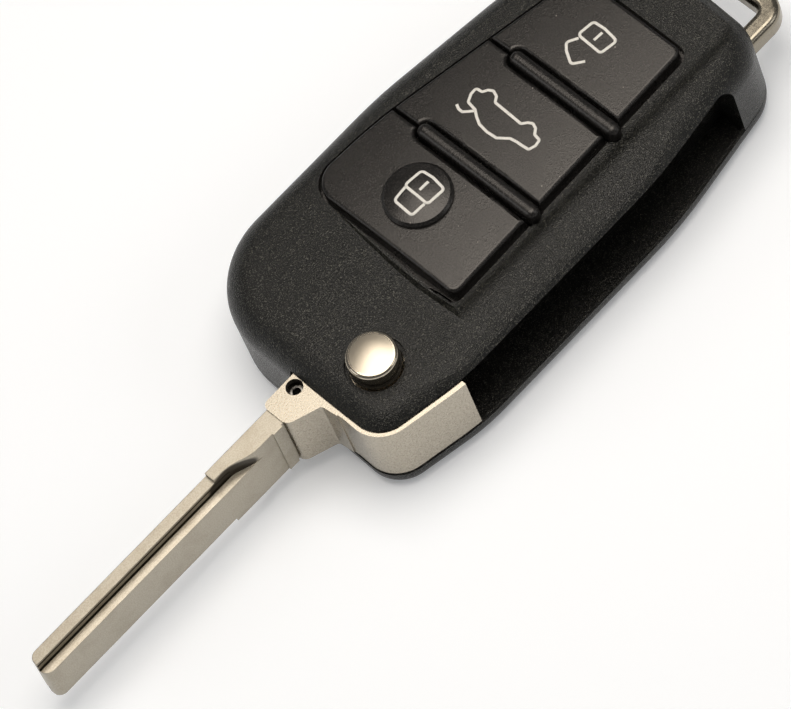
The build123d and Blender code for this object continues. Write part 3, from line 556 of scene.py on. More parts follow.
# The crown sinks by the square of the way from its middle over twice its radius.
rise = given.outputs["Top"]
for axis in ("X", "Y"):
    aside = add(
        printing,
        "ShaderNodeMath",
        {0: axes.outputs[axis], 1: given.outputs["Middle " + axis]},
        operation="SUBTRACT",
    )
    square = add(
        printing, "ShaderNodeMath", {0: aside.outputs[0], 1: aside.outputs[0]}, operation="MULTIPLY"
    )
    twice = add(
        printing, "ShaderNodeMath", {0: given.outputs["Radius " + axis], 1: 2.0}, operation="MULTIPLY"
    )
    sink = add(
        printing, "ShaderNodeMath", {0: square.outputs[0], 1: twice.outputs[0]}, operation="DIVIDE"
    )
    rise = add(
        printing, "ShaderNodeMath", {0: rise, 1: sink.outputs[0]}, operation="SUBTRACT"
    ).outputs[0]
shift = add(printing, "ShaderNodeCombineXYZ", {"Z": rise})
seated = add(
    printing, "GeometryNodeSetPosition", {"Geometry": ribbon.outputs[0], "Offset": shift.outputs[0]}
)
solid = add(printing, "GeometryNodeRealizeInstances", {0: seated.outputs[0]})
inked = add(printing, "GeometryNodeSetMaterial", {"Geometry": solid.outputs[0], "Material": icon_ink})
printing.links.new(inked.outputs[0], made.inputs[0])
for name, (body, corner, crown, strokes) in icon_strokes.items():
    points = []
    edges = []
    for kind, stroke in strokes:
        first = len(points)
        points += [(x, y, 0) for x, y in stroke]
        edges += [(first + i, first + i + 1) for i in range(len(stroke) - 1)]
        if kind == "closed":
            edges.append((first + len(stroke) - 1, first))
    icon = mesh_object(name, points, [], edges)
    sizes = {"Stroke": STROKE_MM, "Ink": INK_THICK_MM, "Corner": corner, **crown}
    sizes = {size: value * MM for size, value in sizes.items()}
    shaped(icon, printing, sizes, body)

# Blade
# A steel bar with two milled guide tracks, tumbled so that its edges are broken, and nickel
# plated, with a fine satin grain whose dimples are painted darker as shade, and faint tarnish.
# Each track's floor is a few degrees out of level, two painted shade lines run along its wall,
# and its run-out is painted dark as shade.
NICKEL_COLOUR = "#b0a99b"
NICKEL_TARNISH = "#9f9787"
# Painted shade in the satin grain's dimples.
NICKEL_DIMPLE_SHADE = "#837b6e"
# Painted shade lines along the track walls.
WALL_SHADE_LINE_COLOUR = "#2a261e"
# Painted shade in the track's run-out.
RUN_OUT_SHADE_COLOUR = "#1d1812"
# The real satin grain is well under 0.1 mm, and it is drawn coarser to show.
PLATE_GRAIN_MM = 0.18
PLATE_RELIEF_MM = 0.03
TARNISH_PATCH_MM = 3
EDGE_BREAK_MM = 0.12
# The sizes after this point are measured from it. A painted shade line is its height on the
# wall and half its width, and the run-out is an ellipse by its middle and its reach.
BLADE_MIDDLE_MM = (0, -5.85, 7.95)
TRACK_FLOOR_MM = 2.2
TRACK_FLOOR_GIVE_MM = 0.1
TRACK_WALL_REACH_MM = 0.22
FLOOR_TILT = 0.05
WALL_SHADE_LINES_MM = ((3.3, 0.16), (2.36, 0.2))
RUN_OUT_MIDDLE_MM = (19.9, 0, 2.7)
RUN_OUT_REACH_MM = (3.7, 100, 1.7)
SIDE_REACH_MM = 1.3
WALL_STEEPNESS = 0.5
blade_nickel, tree, place, output = new_material("Nickel plate on milled steel")
level = add(
    tree, "ShaderNodeVectorMath", {0: place, 1: Vector(BLADE_MIDDLE_MM) * MM}, operation="SUBTRACT"
)
from_middle = add(tree, "ShaderNodeVectorMath", {0: level.outputs[0]}, operation="ABSOLUTE")
level = add(tree, "ShaderNodeSeparateXYZ", {0: from_middle.outputs[0]})
facing = add(tree, "ShaderNodeNewGeometry")
upright = add(
    tree,
    "ShaderNodeVectorTransform",
    {0: facing.outputs["True Normal"]},
    vector_type="NORMAL",
    convert_from="WORLD",
    convert_to="OBJECT",
)
upright = add(tree, "ShaderNodeSeparateXYZ", {0: upright.outputs[0]})
on_floor = add(
    tree,
    "ShaderNodeMath",
    {0: level.outputs["Z"], 1: TRACK_FLOOR_MM * MM, 2: TRACK_FLOOR_GIVE_MM * MM},
    operation="COMPARE",
)
lean = add(
    tree, "ShaderNodeMath", {0: on_floor.outputs[0], 1: upright.outputs["Z"]}, operation="MULTIPLY"
)
lean = add(tree, "ShaderNodeMath", {0: lean.outputs[0], 1: FLOOR_TILT}, operation="MULTIPLY")
lean = add(tree, "ShaderNodeCombineXYZ", {"Y": lean.outputs[0]})
lean = add(
    tree,
    "ShaderNodeVectorTransform",
    {0: lean.outputs[0]},
    vector_type="VECTOR",
    convert_from="OBJECT",
    convert_to="WORLD",
)
broken = add(tree, "ShaderNodeBevel", {"Radius": EDGE_BREAK_MM * MM})
cut_face = add(tree, "ShaderNodeVectorMath", {0: broken.outputs[0], 1: lean.outputs[0]})
cut_face = add(tree, "ShaderNodeVectorMath", {0: cut_face.outputs[0]}, operation="NORMALIZE")
lay = add(
    tree, "ShaderNodeTexNoise", {"Vector": place, "Scale": 1 / (PLATE_GRAIN_MM * MM), "Detail": 2.0}
)
relief = add(
    tree,
    "ShaderNodeBump",
    {
        "Height": lay.outputs["Fac"],
        "Strength": 0.5,
        "Distance": PLATE_RELIEF_MM * MM,
        "Normal": cut_face.outputs[0],
    },
)
stain = add(
    tree,
    "ShaderNodeTexNoise",
    {"Vector": place, "Scale": 1 / (TARNISH_PATCH_MM * MM), "Detail": 5.0, "Roughness": 0.6},
)
dull = add(
    tree,
    "ShaderNodeMapRange",
    {"Value": stain.outputs["Fac"], "From Min": 0.45, "From Max": 0.75, "To Min": 0.0, "To Max": 0.8},
)
tone = add(
    tree,
    "ShaderNodeMix",
    {
        "Factor": dull.outputs["Result"],
        COLOUR_A: linear(NICKEL_COLOUR),
        COLOUR_B: linear(NICKEL_TARNISH),
    },
    data_type="RGBA",
)
# Painted shade: where the grain is low, the plate is painted darker.
dimple_shade = add(
    tree,
    "ShaderNodeMapRange",
    {"Value": lay.outputs["Fac"], "From Min": 0.38, "From Max": 0.62, "To Min": 0.4, "To Max": 0.0},
)
tone = add(
    tree,
    "ShaderNodeMix",
    {
        "Factor": dimple_shade.outputs["Result"],
        COLOUR_A: tone.outputs[MIXED],
        COLOUR_B: linear(NICKEL_DIMPLE_SHADE),
    },
    data_type="RGBA",
)
inner = add(
    tree, "ShaderNodeMath", {0: level.outputs["Y"], 1: TRACK_WALL_REACH_MM * MM}, operation="LESS_THAN"
)
# Painted shade: two dark lines along each track wall.
for height, width in WALL_SHADE_LINES_MM:
    wall_shade_line = add(
        tree,
        "ShaderNodeMath",
        {0: level.outputs["Z"], 1: height * MM, 2: width * MM},
        operation="COMPARE",
    )
    wall_shade_line = add(
        tree, "ShaderNodeMath", {0: wall_shade_line.outputs[0], 1: inner.outputs[0]}, operation="MULTIPLY"
    )
    tone = add(
        tree,
        "ShaderNodeMix",
        {"Factor": wall_shade_line.outputs[0], COLOUR_A: tone.outputs[MIXED], COLOUR_B: linear(WALL_SHADE_LINE_COLOUR)},
        data_type="RGBA",
    )
aside = add(
    tree,
    "ShaderNodeVectorMath",
    {0: from_middle.outputs[0], 1: Vector(RUN_OUT_MIDDLE_MM) * MM},
    operation="SUBTRACT",
)
aside = add(
    tree,
    "ShaderNodeVectorMath",
    {0: aside.outputs[0], 1: Vector(RUN_OUT_REACH_MM) * MM},
    operation="DIVIDE",
)
aside = add(tree, "ShaderNodeVectorMath", {0: aside.outputs[0]}, operation="LENGTH")
run_out = add(
    tree,
    "ShaderNodeMapRange",
    {"Value": aside.outputs["Value"], "From Min": 0.85, "From Max": 1.0, "To Min": 0.9, "To Max": 0.0},
)
steep = add(tree, "ShaderNodeMath", {0: upright.outputs["Z"]}, operation="ABSOLUTE")
steep = add(tree, "ShaderNodeMath", {0: steep.outputs[0], 1: WALL_STEEPNESS}, operation="LESS_THAN")
within = add(
    tree, "ShaderNodeMath", {0: level.outputs["Y"], 1: SIDE_REACH_MM * MM}, operation="LESS_THAN"
)
# Painted shade: the steep wall of the run-out is painted dark.
run_out_shade = add(tree, "ShaderNodeMath", {0: steep.outputs[0], 1: within.outputs[0]}, operation="MULTIPLY")
run_out_shade = add(
    tree, "ShaderNodeMath", {0: run_out_shade.outputs[0], 1: run_out.outputs["Result"]}, operation="MULTIPLY"
)
tone = add(
    tree,
    "ShaderNodeMix",
    {"Factor": run_out_shade.outputs[0], COLOUR_A: tone.outputs[MIXED], COLOUR_B: linear(RUN_OUT_SHADE_COLOUR)},
    data_type="RGBA",
)
gloss = add(
    tree,
    "ShaderNodeMapRange",
    {"Value": lay.outputs["Fac"], "From Min": 0.3, "From Max": 0.7, "To Min": 0.3, "To Max": 0.42},
)
plate = add(
    tree,
    "ShaderNodeBsdfPrincipled",
    {
        "Base Color": tone.outputs[MIXED],
        "Metallic": 1.0,
        "Roughness": gloss.outputs["Result"],
        "Normal": relief.outputs["Normal"],
    },
)
tree.links.new(plate.outputs[0], output.inputs["Surface"])
finish_nodes(blade_nickel, "blade")

# Blade head
# Zinc, die cast with the neck and the band that closes the case's corner, then nickel
# plated. The skin is satin, with the casting's fine grain and slight waves, whose crests are
# painted lighter and hollows darker as light and shade, and the pin's hole is painted black as shade.
# Painted light and shade: the casting's crests and hollows.
CAST_LIT_CREST_COLOUR = "#b3ab9d"
CAST_SHADED_HOLLOW_COLOUR = "#a09889"
# Painted shade in the pin's hole.
PIN_HOLE_SHADE_COLOUR = "#0c0b0a"
# The real grain of the casting is about 0.1 mm, and it is drawn coarser to show.
CAST_GRAIN_MM = 0.2
CAST_RELIEF_MM = 0.02
PIN_MM = (7.6, -6.6, 0)
PIN_HOLE_MM = 1.05
PIN_HOLE_SHADE_EDGE_MM = 0.04
# Leaves out the height, so that only the way across from a vertical axis counts.
FLAT = (1, 1, 0)
head_nickel, tree, place, output = new_material("Nickel plate on die-cast zinc")
wave = add(
    tree, "ShaderNodeTexNoise", {"Vector": place, "Scale": 1 / (CAST_GRAIN_MM * MM), "Detail": 2.0}
)
relief = add(
    tree,
    "ShaderNodeBump",
    {"Height": wave.outputs["Fac"], "Strength": 0.4, "Distance": CAST_RELIEF_MM * MM},
)
haze = add(
    tree,
    "ShaderNodeMapRange",
    {"Value": wave.outputs["Fac"], "From Min": 0.3, "From Max": 0.7, "To Min": 0.24, "To Max": 0.34},
)
# Painted highlight and shade: the waves' crests are painted lighter, their hollows darker.
painted_crest_highlight = add(
    tree,
    "ShaderNodeMapRange",
    {"Value": wave.outputs["Fac"], "From Min": 0.36, "From Max": 0.6, "To Min": 0.0, "To Max": 1.0},
)
tone = add(
    tree,
    "ShaderNodeMix",
    {
        "Factor": painted_crest_highlight.outputs["Result"],
        COLOUR_A: linear(CAST_SHADED_HOLLOW_COLOUR),
        COLOUR_B: linear(CAST_LIT_CREST_COLOUR),
    },
    data_type="RGBA",
)
aside = add(tree, "ShaderNodeVectorMath", {0: place, 1: Vector(PIN_MM) * MM}, operation="SUBTRACT")
level = add(tree, "ShaderNodeVectorMath", {0: aside.outputs[0], 1: FLAT}, operation="MULTIPLY")
reach = add(tree, "ShaderNodeVectorMath", {0: level.outputs[0]}, operation="LENGTH")
# Painted shade: inside the pin's hole, the plate is painted near black.
pin_hole_shade = add(
    tree,
    "ShaderNodeMapRange",
    {
        "Value": reach.outputs["Value"],
        "From Min": PIN_HOLE_MM * MM,
        "From Max": (PIN_HOLE_MM + PIN_HOLE_SHADE_EDGE_MM) * MM,
        "To Min": 0.95,
        "To Max": 0.0,
    },
)
tone = add(
    tree,
    "ShaderNodeMix",
    {"Factor": pin_hole_shade.outputs["Result"], COLOUR_A: tone.outputs[MIXED], COLOUR_B: linear(PIN_HOLE_SHADE_COLOUR)},
    data_type="RGBA",
)
plate = add(
    tree,
    "ShaderNodeBsdfPrincipled",
    {
        "Base Color": tone.outputs[MIXED],
        "Metallic": 1.0,
        "Roughness": haze.outputs["Result"],
        "Normal": relief.outputs["Normal"],
    },
)
tree.links.new(plate.outputs[0], output.inputs["Surface"])
finish_nodes(head_nickel, "blade_head")

# Release cap
# Brass, turned on a lathe, domed and nickel plated. Thumbs have dulled the dome with fine
# random scratches, while its rim stays bright.
CAP_COLOUR = "#b9af9e"
CAP_SCRATCH_MM = 0.3
CAP_RELIEF_MM = 0.01
DULL_RADIUS_MM = 2.5
BRIGHT_RADIUS_MM = 2.9
cap_nickel, tree, place, output = new_material("Nickel plate on turned brass")
reach = add(tree, "ShaderNodeVectorMath", {0: place, 1: FLAT}, operation="MULTIPLY")
radius = add(tree, "ShaderNodeVectorMath", {0: reach.outputs[0]}, operation="LENGTH")
scuffs = add(
    tree,
    "ShaderNodeTexNoise",
    {"Vector": place, "Scale": 1 / (CAP_SCRATCH_MM * MM), "Detail": 4.0, "Roughness": 0.7},
)
dome = add(
    tree,
    "ShaderNodeMapRange",
    {
        "Value": radius.outputs["Value"],
        "From Min": DULL_RADIUS_MM * MM,
        "From Max": BRIGHT_RADIUS_MM * MM,
        "To Min": 0.3,
        "To Max": 0.15,
    },
)
relief = add(
    tree,
    "ShaderNodeBump",
    {"Height": scuffs.outputs["Fac"], "Strength": 0.2, "Distance": CAP_RELIEF_MM * MM},
)
plate = add(
    tree,
    "ShaderNodeBsdfPrincipled",
    {
        "Base Color": linear(CAP_COLOUR),
        "Metallic": 1.0,
        "Roughness": dome.outputs["Result"],
        "Normal": relief.outputs["Normal"],
    },
)
tree.links.new(plate.outputs[0], output.inputs["Surface"])
finish_nodes(cap_nickel, "release_cap")

# Roll pin, release shaft and cell contacts
# Hardened spring steel, drawn or rolled bright and then oiled. It is darker than the plating,
# and the film of oil lies on it in duller and brighter patches.
STEEL_DARK_COLOUR = "#7d7a75"
STEEL_BRIGHT_COLOUR = "#a5a19b"
OIL_PATCH_MM = 0.8
oiled_steel, tree, place, output = new_material("Oiled spring steel")
film = add(
    tree, "ShaderNodeTexNoise", {"Vector": place, "Scale": 1 / (OIL_PATCH_MM * MM), "Detail": 3.0}
)
tone = add(
    tree,
    "ShaderNodeMix",
    {
        "Factor": film.outputs["Fac"],
        COLOUR_A: linear(STEEL_DARK_COLOUR),
        COLOUR_B: linear(STEEL_BRIGHT_COLOUR),
    },
    data_type="RGBA",
)
gloss = add(
    tree,
    "ShaderNodeMapRange",
    {"Value": film.outputs["Fac"], "From Min": 0.3, "From Max": 0.7, "To Min": 0.22, "To Max": 0.4},
)
steel = add(
    tree,
    "ShaderNodeBsdfPrincipled",
    {"Base Color": tone.outputs[MIXED], "Metallic": 1.0, "Roughness": gloss.outputs["Result"]},
)
tree.links.new(steel.outputs[0], output.inputs["Surface"])
finish_nodes(
    oiled_steel, "roll_pin", "release_shaft", "flip_spring", "battery_clip_plus", "battery_clip_minus"
)

# Key ring bail
# A zinc casting, barrel polished and nickel plated. Rings have rubbed it, so its shine is
# uneven, with small rubbed spots all over.
BAIL_COLOUR = "#8f887a"
BAIL_RUB_MM = 0.5
BAIL_RELIEF_MM = 0.02
bail_nickel, tree, place, output = new_material("Nickel plate on tumbled zinc")
rubbed = add(
    tree,
    "ShaderNodeTexNoise",
    {"Vector": place, "Scale": 1 / (BAIL_RUB_MM * MM), "Detail": 4.0, "Roughness": 0.65},
)
relief = add(
    tree,
    "ShaderNodeBump",
    {"Height": rubbed.outputs["Fac"], "Strength": 0.15, "Distance": BAIL_RELIEF_MM * MM},
)
gloss = add(
    tree,
    "ShaderNodeMapRange",
    {"Value": rubbed.outputs["Fac"], "From Min": 0.35, "From Max": 0.65, "To Min": 0.16, "To Max": 0.3},
)
plate = add(
    tree,
    "ShaderNodeBsdfPrincipled",
    {
        "Base Color": linear(BAIL_COLOUR),
        "Metallic": 1.0,
        "Roughness": gloss.outputs["Result"],
        "Normal": relief.outputs["Normal"],
    },
)
tree.links.new(plate.outputs[0], output.inputs["Surface"])
finish_nodes(bail_nickel, "ring_bail")

# Inner carrier
# The tray for board, cell and transponder, moulded in black glass-filled nylon. Short fibres
# at its skin give a dull, streaky grey-black. They are drawn far thicker than real ones.
NYLON_COLOUR = "#161616"
NYLON_FIBRE_COLOUR = "#2b2b2a"
NYLON_IOR = 1.54
FIBRE_MM = 0.3
FIBRE_STRETCH = (0.25, 1, 1)
tray_nylon, tree, place, output = new_material("Glass-filled black nylon")
fibres = add(tree, "ShaderNodeMapping", {"Vector": place, "Scale": FIBRE_STRETCH})
streaks = add(
    tree,
    "ShaderNodeTexNoise",
    {"Vector": fibres.outputs[0], "Scale": 1 / (FIBRE_MM * MM), "Detail": 3.0},
)
tone = add(
    tree,
    "ShaderNodeMix",
    {
        "Factor": streaks.outputs["Fac"],
        COLOUR_A: linear(NYLON_COLOUR),
        COLOUR_B: linear(NYLON_FIBRE_COLOUR),
    },
    data_type="RGBA",
)
nylon = add(
    tree,
    "ShaderNodeBsdfPrincipled",
    {"Base Color": tone.outputs[MIXED], "Roughness": 0.55, "IOR": NYLON_IOR},
)
tree.links.new(nylon.outputs[0], output.inputs["Surface"])
finish_nodes(tray_nylon, "inner_carrier")

# Seal mat
# A sheet of grey silicone rubber that keeps damp from the board. It is dull, with lint that
# clings to it.
RUBBER_COLOUR = "#55585b"
LINT_COLOUR = "#6f7375"
RUBBER_IOR = 1.43
LINT_MM = 0.4
mat_silicone, tree, place, output = new_material("Grey silicone rubber")
lint = add(tree, "ShaderNodeTexNoise", {"Vector": place, "Scale": 1 / (LINT_MM * MM), "Detail": 4.0})
tone = add(
    tree,
    "ShaderNodeMix",
    {"Factor": lint.outputs["Fac"], COLOUR_A: linear(RUBBER_COLOUR), COLOUR_B: linear(LINT_COLOUR)},
    data_type="RGBA",
)
rubber = add(
    tree,
    "ShaderNodeBsdfPrincipled",
    {"Base Color": tone.outputs[MIXED], "Roughness": 0.7, "IOR": RUBBER_IOR},
)
tree.links.new(rubber.outputs[0], output.inputs["Surface"])
finish_nodes(mat_silicone, "seal_mat")

# Circuit board
# Glass-epoxy laminate under green solder mask. The copper tracks beneath the mask show as
# lighter green lines on a grid, drawn coarser than real ones so that they can be seen.
MASK_COLOUR = "#14502c"
MASK_LIGHT_COLOUR = "#175731"
TRACK_COLOUR = "#2d7a48"
MASK_IOR = 1.52
TRACK_PITCH_MM = 1.27
TRACK_RUN_PITCHES = 6
TRACK_WIDTH_MM = 0.16
TRACK_RELIEF_MM = 0.03
GLASS_WEAVE_MM = 0.5
board_laminate, tree, place, output = new_material("Solder mask on glass-epoxy laminate")
tracks = add(
    tree,
    "ShaderNodeTexBrick",
    {
        "Vector": place,
        "Scale": 1.0,
        "Brick Width": TRACK_RUN_PITCHES * TRACK_PITCH_MM * MM,
        "Row Height": TRACK_PITCH_MM * MM,
        "Mortar Size": TRACK_WIDTH_MM * MM,
        "Mortar Smooth": 0.1,
        "Color1": linear(MASK_COLOUR),
        "Color2": linear(MASK_LIGHT_COLOUR),
        "Mortar": linear(TRACK_COLOUR),
    },
)
weave = add(
    tree, "ShaderNodeTexNoise", {"Vector": place, "Scale": 1 / (GLASS_WEAVE_MM * MM), "Detail": 2.0}
)
relief = add(
    tree,
    "ShaderNodeBump",
    {"Height": tracks.outputs["Fac"], "Strength": 0.3, "Distance": TRACK_RELIEF_MM * MM},
)
gloss = add(
    tree,
    "ShaderNodeMapRange",
    {"Value": weave.outputs["Fac"], "From Min": 0.3, "From Max": 0.7, "To Min": 0.2, "To Max": 0.34},
)
mask = add(
    tree,
    "ShaderNodeBsdfPrincipled",
    {
        "Base Color": tracks.outputs["Color"],
        "Roughness": gloss.outputs["Result"],
        "IOR": MASK_IOR,
        "Normal": relief.outputs["Normal"],
    },
)
tree.links.new(mask.outputs[0], output.inputs["Surface"])
finish_nodes(board_laminate, "circuit_board")

# Chip resistors and capacitors
# Ceramic chips with a dark glaze and tinned ends, soldered to the board's upper face beside the
# switches.
GLAZE_COLOUR = "#2b2a2c"
GLAZE_LIGHT_COLOUR = "#3c3a3a"
TIN_COLOUR = "#c9c9c6"
GLAZE_MOTTLE_MM = 0.2
BOARD_TOP_MM = 9.2
CHIP_SIZE_MM = (1.6, 0.8, 0.5)
CHIP_LENGTH_POINTS = 6
# The part of a chip's length, from its middle, that is bare of tin.
BARE_SHARE = 0.35
chip_spots_mm = [
    (-16.0, -18.5), (-16.0, -16.8), (-28.4, -4.2), (-28.4, -2.6), (-37.0, -15.8), (-37.0, -14.1),
    (-49.6, -6.2), (-49.6, -4.5), (-24.4, -13.2), (-40.8, -4.0), (-29.5, -17.5), (-45.0, -13.6),
]
chip_ceramic, tree, place, output = new_material("Glazed ceramic chip with tinned ends")
ends = add(tree, "ShaderNodeAttribute", attribute_name="tinned")
mottle = add(
    tree, "ShaderNodeTexNoise", {"Vector": place, "Scale": 1 / (GLAZE_MOTTLE_MM * MM), "Detail": 2.0}
)
glaze = add(
    tree,
    "ShaderNodeMix",
    {
        "Factor": mottle.outputs["Fac"],
        COLOUR_A: linear(GLAZE_COLOUR),
        COLOUR_B: linear(GLAZE_LIGHT_COLOUR),
    },
    data_type="RGBA",
)
tone = add(
    tree,
    "ShaderNodeMix",
    {"Factor": ends.outputs["Fac"], COLOUR_A: glaze.outputs[MIXED], COLOUR_B: linear(TIN_COLOUR)},
    data_type="RGBA",
)
ceramic = add(
    tree,
    "ShaderNodeBsdfPrincipled",
    {"Base Color": tone.outputs[MIXED], "Metallic": ends.outputs["Fac"], "Roughness": 0.35},
)
tree.links.new(ceramic.outputs[0], output.inputs["Surface"])
placing, given, made = shape_tree("Soldered chips", ("Length", "Width", "Height"))
size = add(
    placing,
    "ShaderNodeCombineXYZ",
    {"X": given.outputs["Length"], "Y": given.outputs["Width"], "Z": given.outputs["Height"]},
)
block = add(placing, "GeometryNodeMeshCube", {"Size": size.outputs[0], "Vertices X": CHIP_LENGTH_POINTS})
where = add(placing, "GeometryNodeInputPosition")
axes = add(placing, "ShaderNodeSeparateXYZ", {0: where.outputs[0]})
off = add(placing, "ShaderNodeMath", {0: axes.outputs["X"]}, operation="ABSOLUTE")
bare = add(
    placing, "ShaderNodeMath", {0: given.outputs["Length"], 1: BARE_SHARE}, operation="MULTIPLY"
)
at_end = add(placing, "FunctionNodeCompare", {"A": off.outputs[0], "B": bare.outputs[0]})
tinned = add(
    placing,
    "GeometryNodeStoreNamedAttribute",
    {"Geometry": block.outputs["Mesh"], "Name": "tinned", "Value": at_end.outputs[0]},
    data_type="FLOAT",
    domain="FACE",
)
rows = add(
    placing,
    "GeometryNodeInstanceOnPoints",
    {"Points": given.outputs["Geometry"], "Instance": tinned.outputs[0]},
)
solid = add(placing, "GeometryNodeRealizeInstances", {0: rows.outputs[0]})
fired = add(
    placing, "GeometryNodeSetMaterial", {"Geometry": solid.outputs[0], "Material": chip_ceramic}
)
placing.links.new(fired.outputs[0], made.inputs[0])
chip_middle_mm = BOARD_TOP_MM + CHIP_SIZE_MM[2] / 2
chips = mesh_object("chip_resistors", [(x, y, chip_middle_mm) for x, y in chip_spots_mm], [])
sizes = {name: value * MM for name, value in zip(("Length", "Width", "Height"), CHIP_SIZE_MM)}
shaped(chips, placing, sizes, "case")

# Push switches and crystal
# Stamped cans of tinned steel, with a black plunger on each switch. The cans have the fine
# parallel lines of rolled strip, which are drawn coarser than real ones so that they show.
STRIP_COLOUR = "#b0b0ac"
STRIP_LINE_COLOUR = "#d0d0cc"
PLUNGER_COLOUR = "#1d1d1d"
STRIP_LINE_MM = 0.12
STRIP_STRETCH = (0.03, 1, 1)
SWITCH_CAN_TOP_MM = 10.2
# Keeps the edge between two colours clear of the face that it lies on.
CLEAR_MM = 0.02
can_steel, tree, place, output = new_material("Tinned steel strip with a nylon plunger")
axes = add(tree, "ShaderNodeSeparateXYZ", {0: place})
above = add(
    tree,
    "ShaderNodeMath",
    {0: axes.outputs["Z"], 1: (SWITCH_CAN_TOP_MM + CLEAR_MM) * MM},
    operation="GREATER_THAN",
)
across = add(tree, "ShaderNodeMapping", {"Vector": place, "Scale": STRIP_STRETCH})
rolled = add(
    tree,
    "ShaderNodeTexNoise",
    {"Vector": across.outputs[0], "Scale": 1 / (STRIP_LINE_MM * MM), "Detail": 2.0},
)
tin = add(
    tree,
    "ShaderNodeMix",
    {
        "Factor": rolled.outputs["Fac"],
        COLOUR_A: linear(STRIP_COLOUR),
        COLOUR_B: linear(STRIP_LINE_COLOUR),
    },
    data_type="RGBA",
)
tone = add(
    tree,
    "ShaderNodeMix",
    {"Factor": above.outputs[0], COLOUR_A: tin.outputs[MIXED], COLOUR_B: linear(PLUNGER_COLOUR)},
    data_type="RGBA",
)
bare = add(tree, "ShaderNodeMath", {0: 1.0, 1: above.outputs[0]}, operation="SUBTRACT")
can = add(
    tree,
    "ShaderNodeBsdfPrincipled",
    {"Base Color": tone.outputs[MIXED], "Metallic": bare.outputs[0], "Roughness": 0.3},
)
tree.links.new(can.outputs[0], output.inputs["Surface"])
finish_nodes(can_steel, "switch_lock", "switch_boot", "switch_unlock", "crystal")

# Control chip
# Black epoxy, transfer moulded round the die, on tinned copper legs that stand out on two
# sides. The specks of its filler are drawn coarser than real ones.
EPOXY_COLOUR = "#18191b"
FILLER_COLOUR = "#28292b"
LEG_COLOUR = "#c4c4c0"
FILLER_MM = 0.12
CHIP_MIDDLE_Y_MM = -7.0
CHIP_HALF_MM = 3.0
LEG_CLEAR_MM = 0.01
chip_epoxy, tree, place, output = new_material("Black epoxy with tinned legs")
axes = add(tree, "ShaderNodeSeparateXYZ", {0: place})
aside = add(
    tree, "ShaderNodeMath", {0: axes.outputs["Y"], 1: CHIP_MIDDLE_Y_MM * MM}, operation="SUBTRACT"
)
out = add(tree, "ShaderNodeMath", {0: aside.outputs[0]}, operation="ABSOLUTE")
leg = add(
    tree,
    "ShaderNodeMath",
    {0: out.outputs[0], 1: (CHIP_HALF_MM + LEG_CLEAR_MM) * MM},
    operation="GREATER_THAN",
)
filler = add(
    tree, "ShaderNodeTexNoise", {"Vector": place, "Scale": 1 / (FILLER_MM * MM), "Detail": 3.0}
)
epoxy = add(
    tree,
    "ShaderNodeMix",
    {"Factor": filler.outputs["Fac"], COLOUR_A: linear(EPOXY_COLOUR), COLOUR_B: linear(FILLER_COLOUR)},
    data_type="RGBA",
)
tone = add(
    tree,
    "ShaderNodeMix",
    {"Factor": leg.outputs[0], COLOUR_A: epoxy.outputs[MIXED], COLOUR_B: linear(LEG_COLOUR)},
    data_type="RGBA",
)
moulding = add(
    tree,
    "ShaderNodeBsdfPrincipled",
    {"Base Color": tone.outputs[MIXED], "Metallic": leg.outputs[0], "Roughness": 0.42},
)
tree.links.new(moulding.outputs[0], output.inputs["Surface"])
finish_nodes(chip_epoxy, "control_chip")

# Transponder
# A glass tag potted in a block of black epoxy. The poured resin set smooth, with slow changes
# of tone and shine.
RESIN_COLOUR = "#131315"
RESIN_LIGHT_COLOUR = "#232326"
RESIN_IOR = 1.55
RESIN_FLOW_MM = 4
tag_resin, tree, place, output = new_material("Potting resin")
flow = add(
    tree, "ShaderNodeTexNoise", {"Vector": place, "Scale": 1 / (RESIN_FLOW_MM * MM), "Detail": 3.0}
)
tone = add(
    tree,
    "ShaderNodeMix",
    {
        "Factor": flow.outputs["Fac"],
        COLOUR_A: linear(RESIN_COLOUR),
        COLOUR_B: linear(RESIN_LIGHT_COLOUR),
    },
    data_type="RGBA",
)
gloss = add(
    tree,
    "ShaderNodeMapRange",
    {"Value": flow.outputs["Fac"], "From Min": 0.3, "From Max": 0.7, "To Min": 0.18, "To Max": 0.32},
)
resin = add(
    tree,
    "ShaderNodeBsdfPrincipled",
    {"Base Color": tone.outputs[MIXED], "Roughness": gloss.outputs["Result"], "IOR": RESIN_IOR},
)
tree.links.new(resin.outputs[0], output.inputs["Surface"])
finish_nodes(tag_resin, "transponder")

# Antenna coil
# A pressed and sintered ferrite bobbin, dark grey and slightly granular. Its grains are drawn
# coarser than real ones so that they show.
FERRITE_COLOUR = "#2b2a2a"
FERRITE_LIGHT_COLOUR = "#4a4846"
FERRITE_GRIT_MM = 0.15
FERRITE_RELIEF_MM = 0.02
ferrite, tree, place, output = new_material("Sintered ferrite")
grit = add(
    tree, "ShaderNodeTexNoise", {"Vector": place, "Scale": 1 / (FERRITE_GRIT_MM * MM), "Detail": 4.0}
)
tone = add(
    tree,
    "ShaderNodeMix",
    {
        "Factor": grit.outputs["Fac"],
        COLOUR_A: linear(FERRITE_COLOUR),
        COLOUR_B: linear(FERRITE_LIGHT_COLOUR),
    },
    data_type="RGBA",
)
relief = add(
    tree,
    "ShaderNodeBump",
    {"Height": grit.outputs["Fac"], "Strength": 0.3, "Distance": FERRITE_RELIEF_MM * MM},
)
sinter = add(
    tree,
    "ShaderNodeBsdfPrincipled",
    {"Base Color": tone.outputs[MIXED], "Roughness": 0.5, "Normal": relief.outputs["Normal"]},
)
tree.links.new(sinter.outputs[0], output.inputs["Surface"])
finish_nodes(ferrite, "antenna_coil")

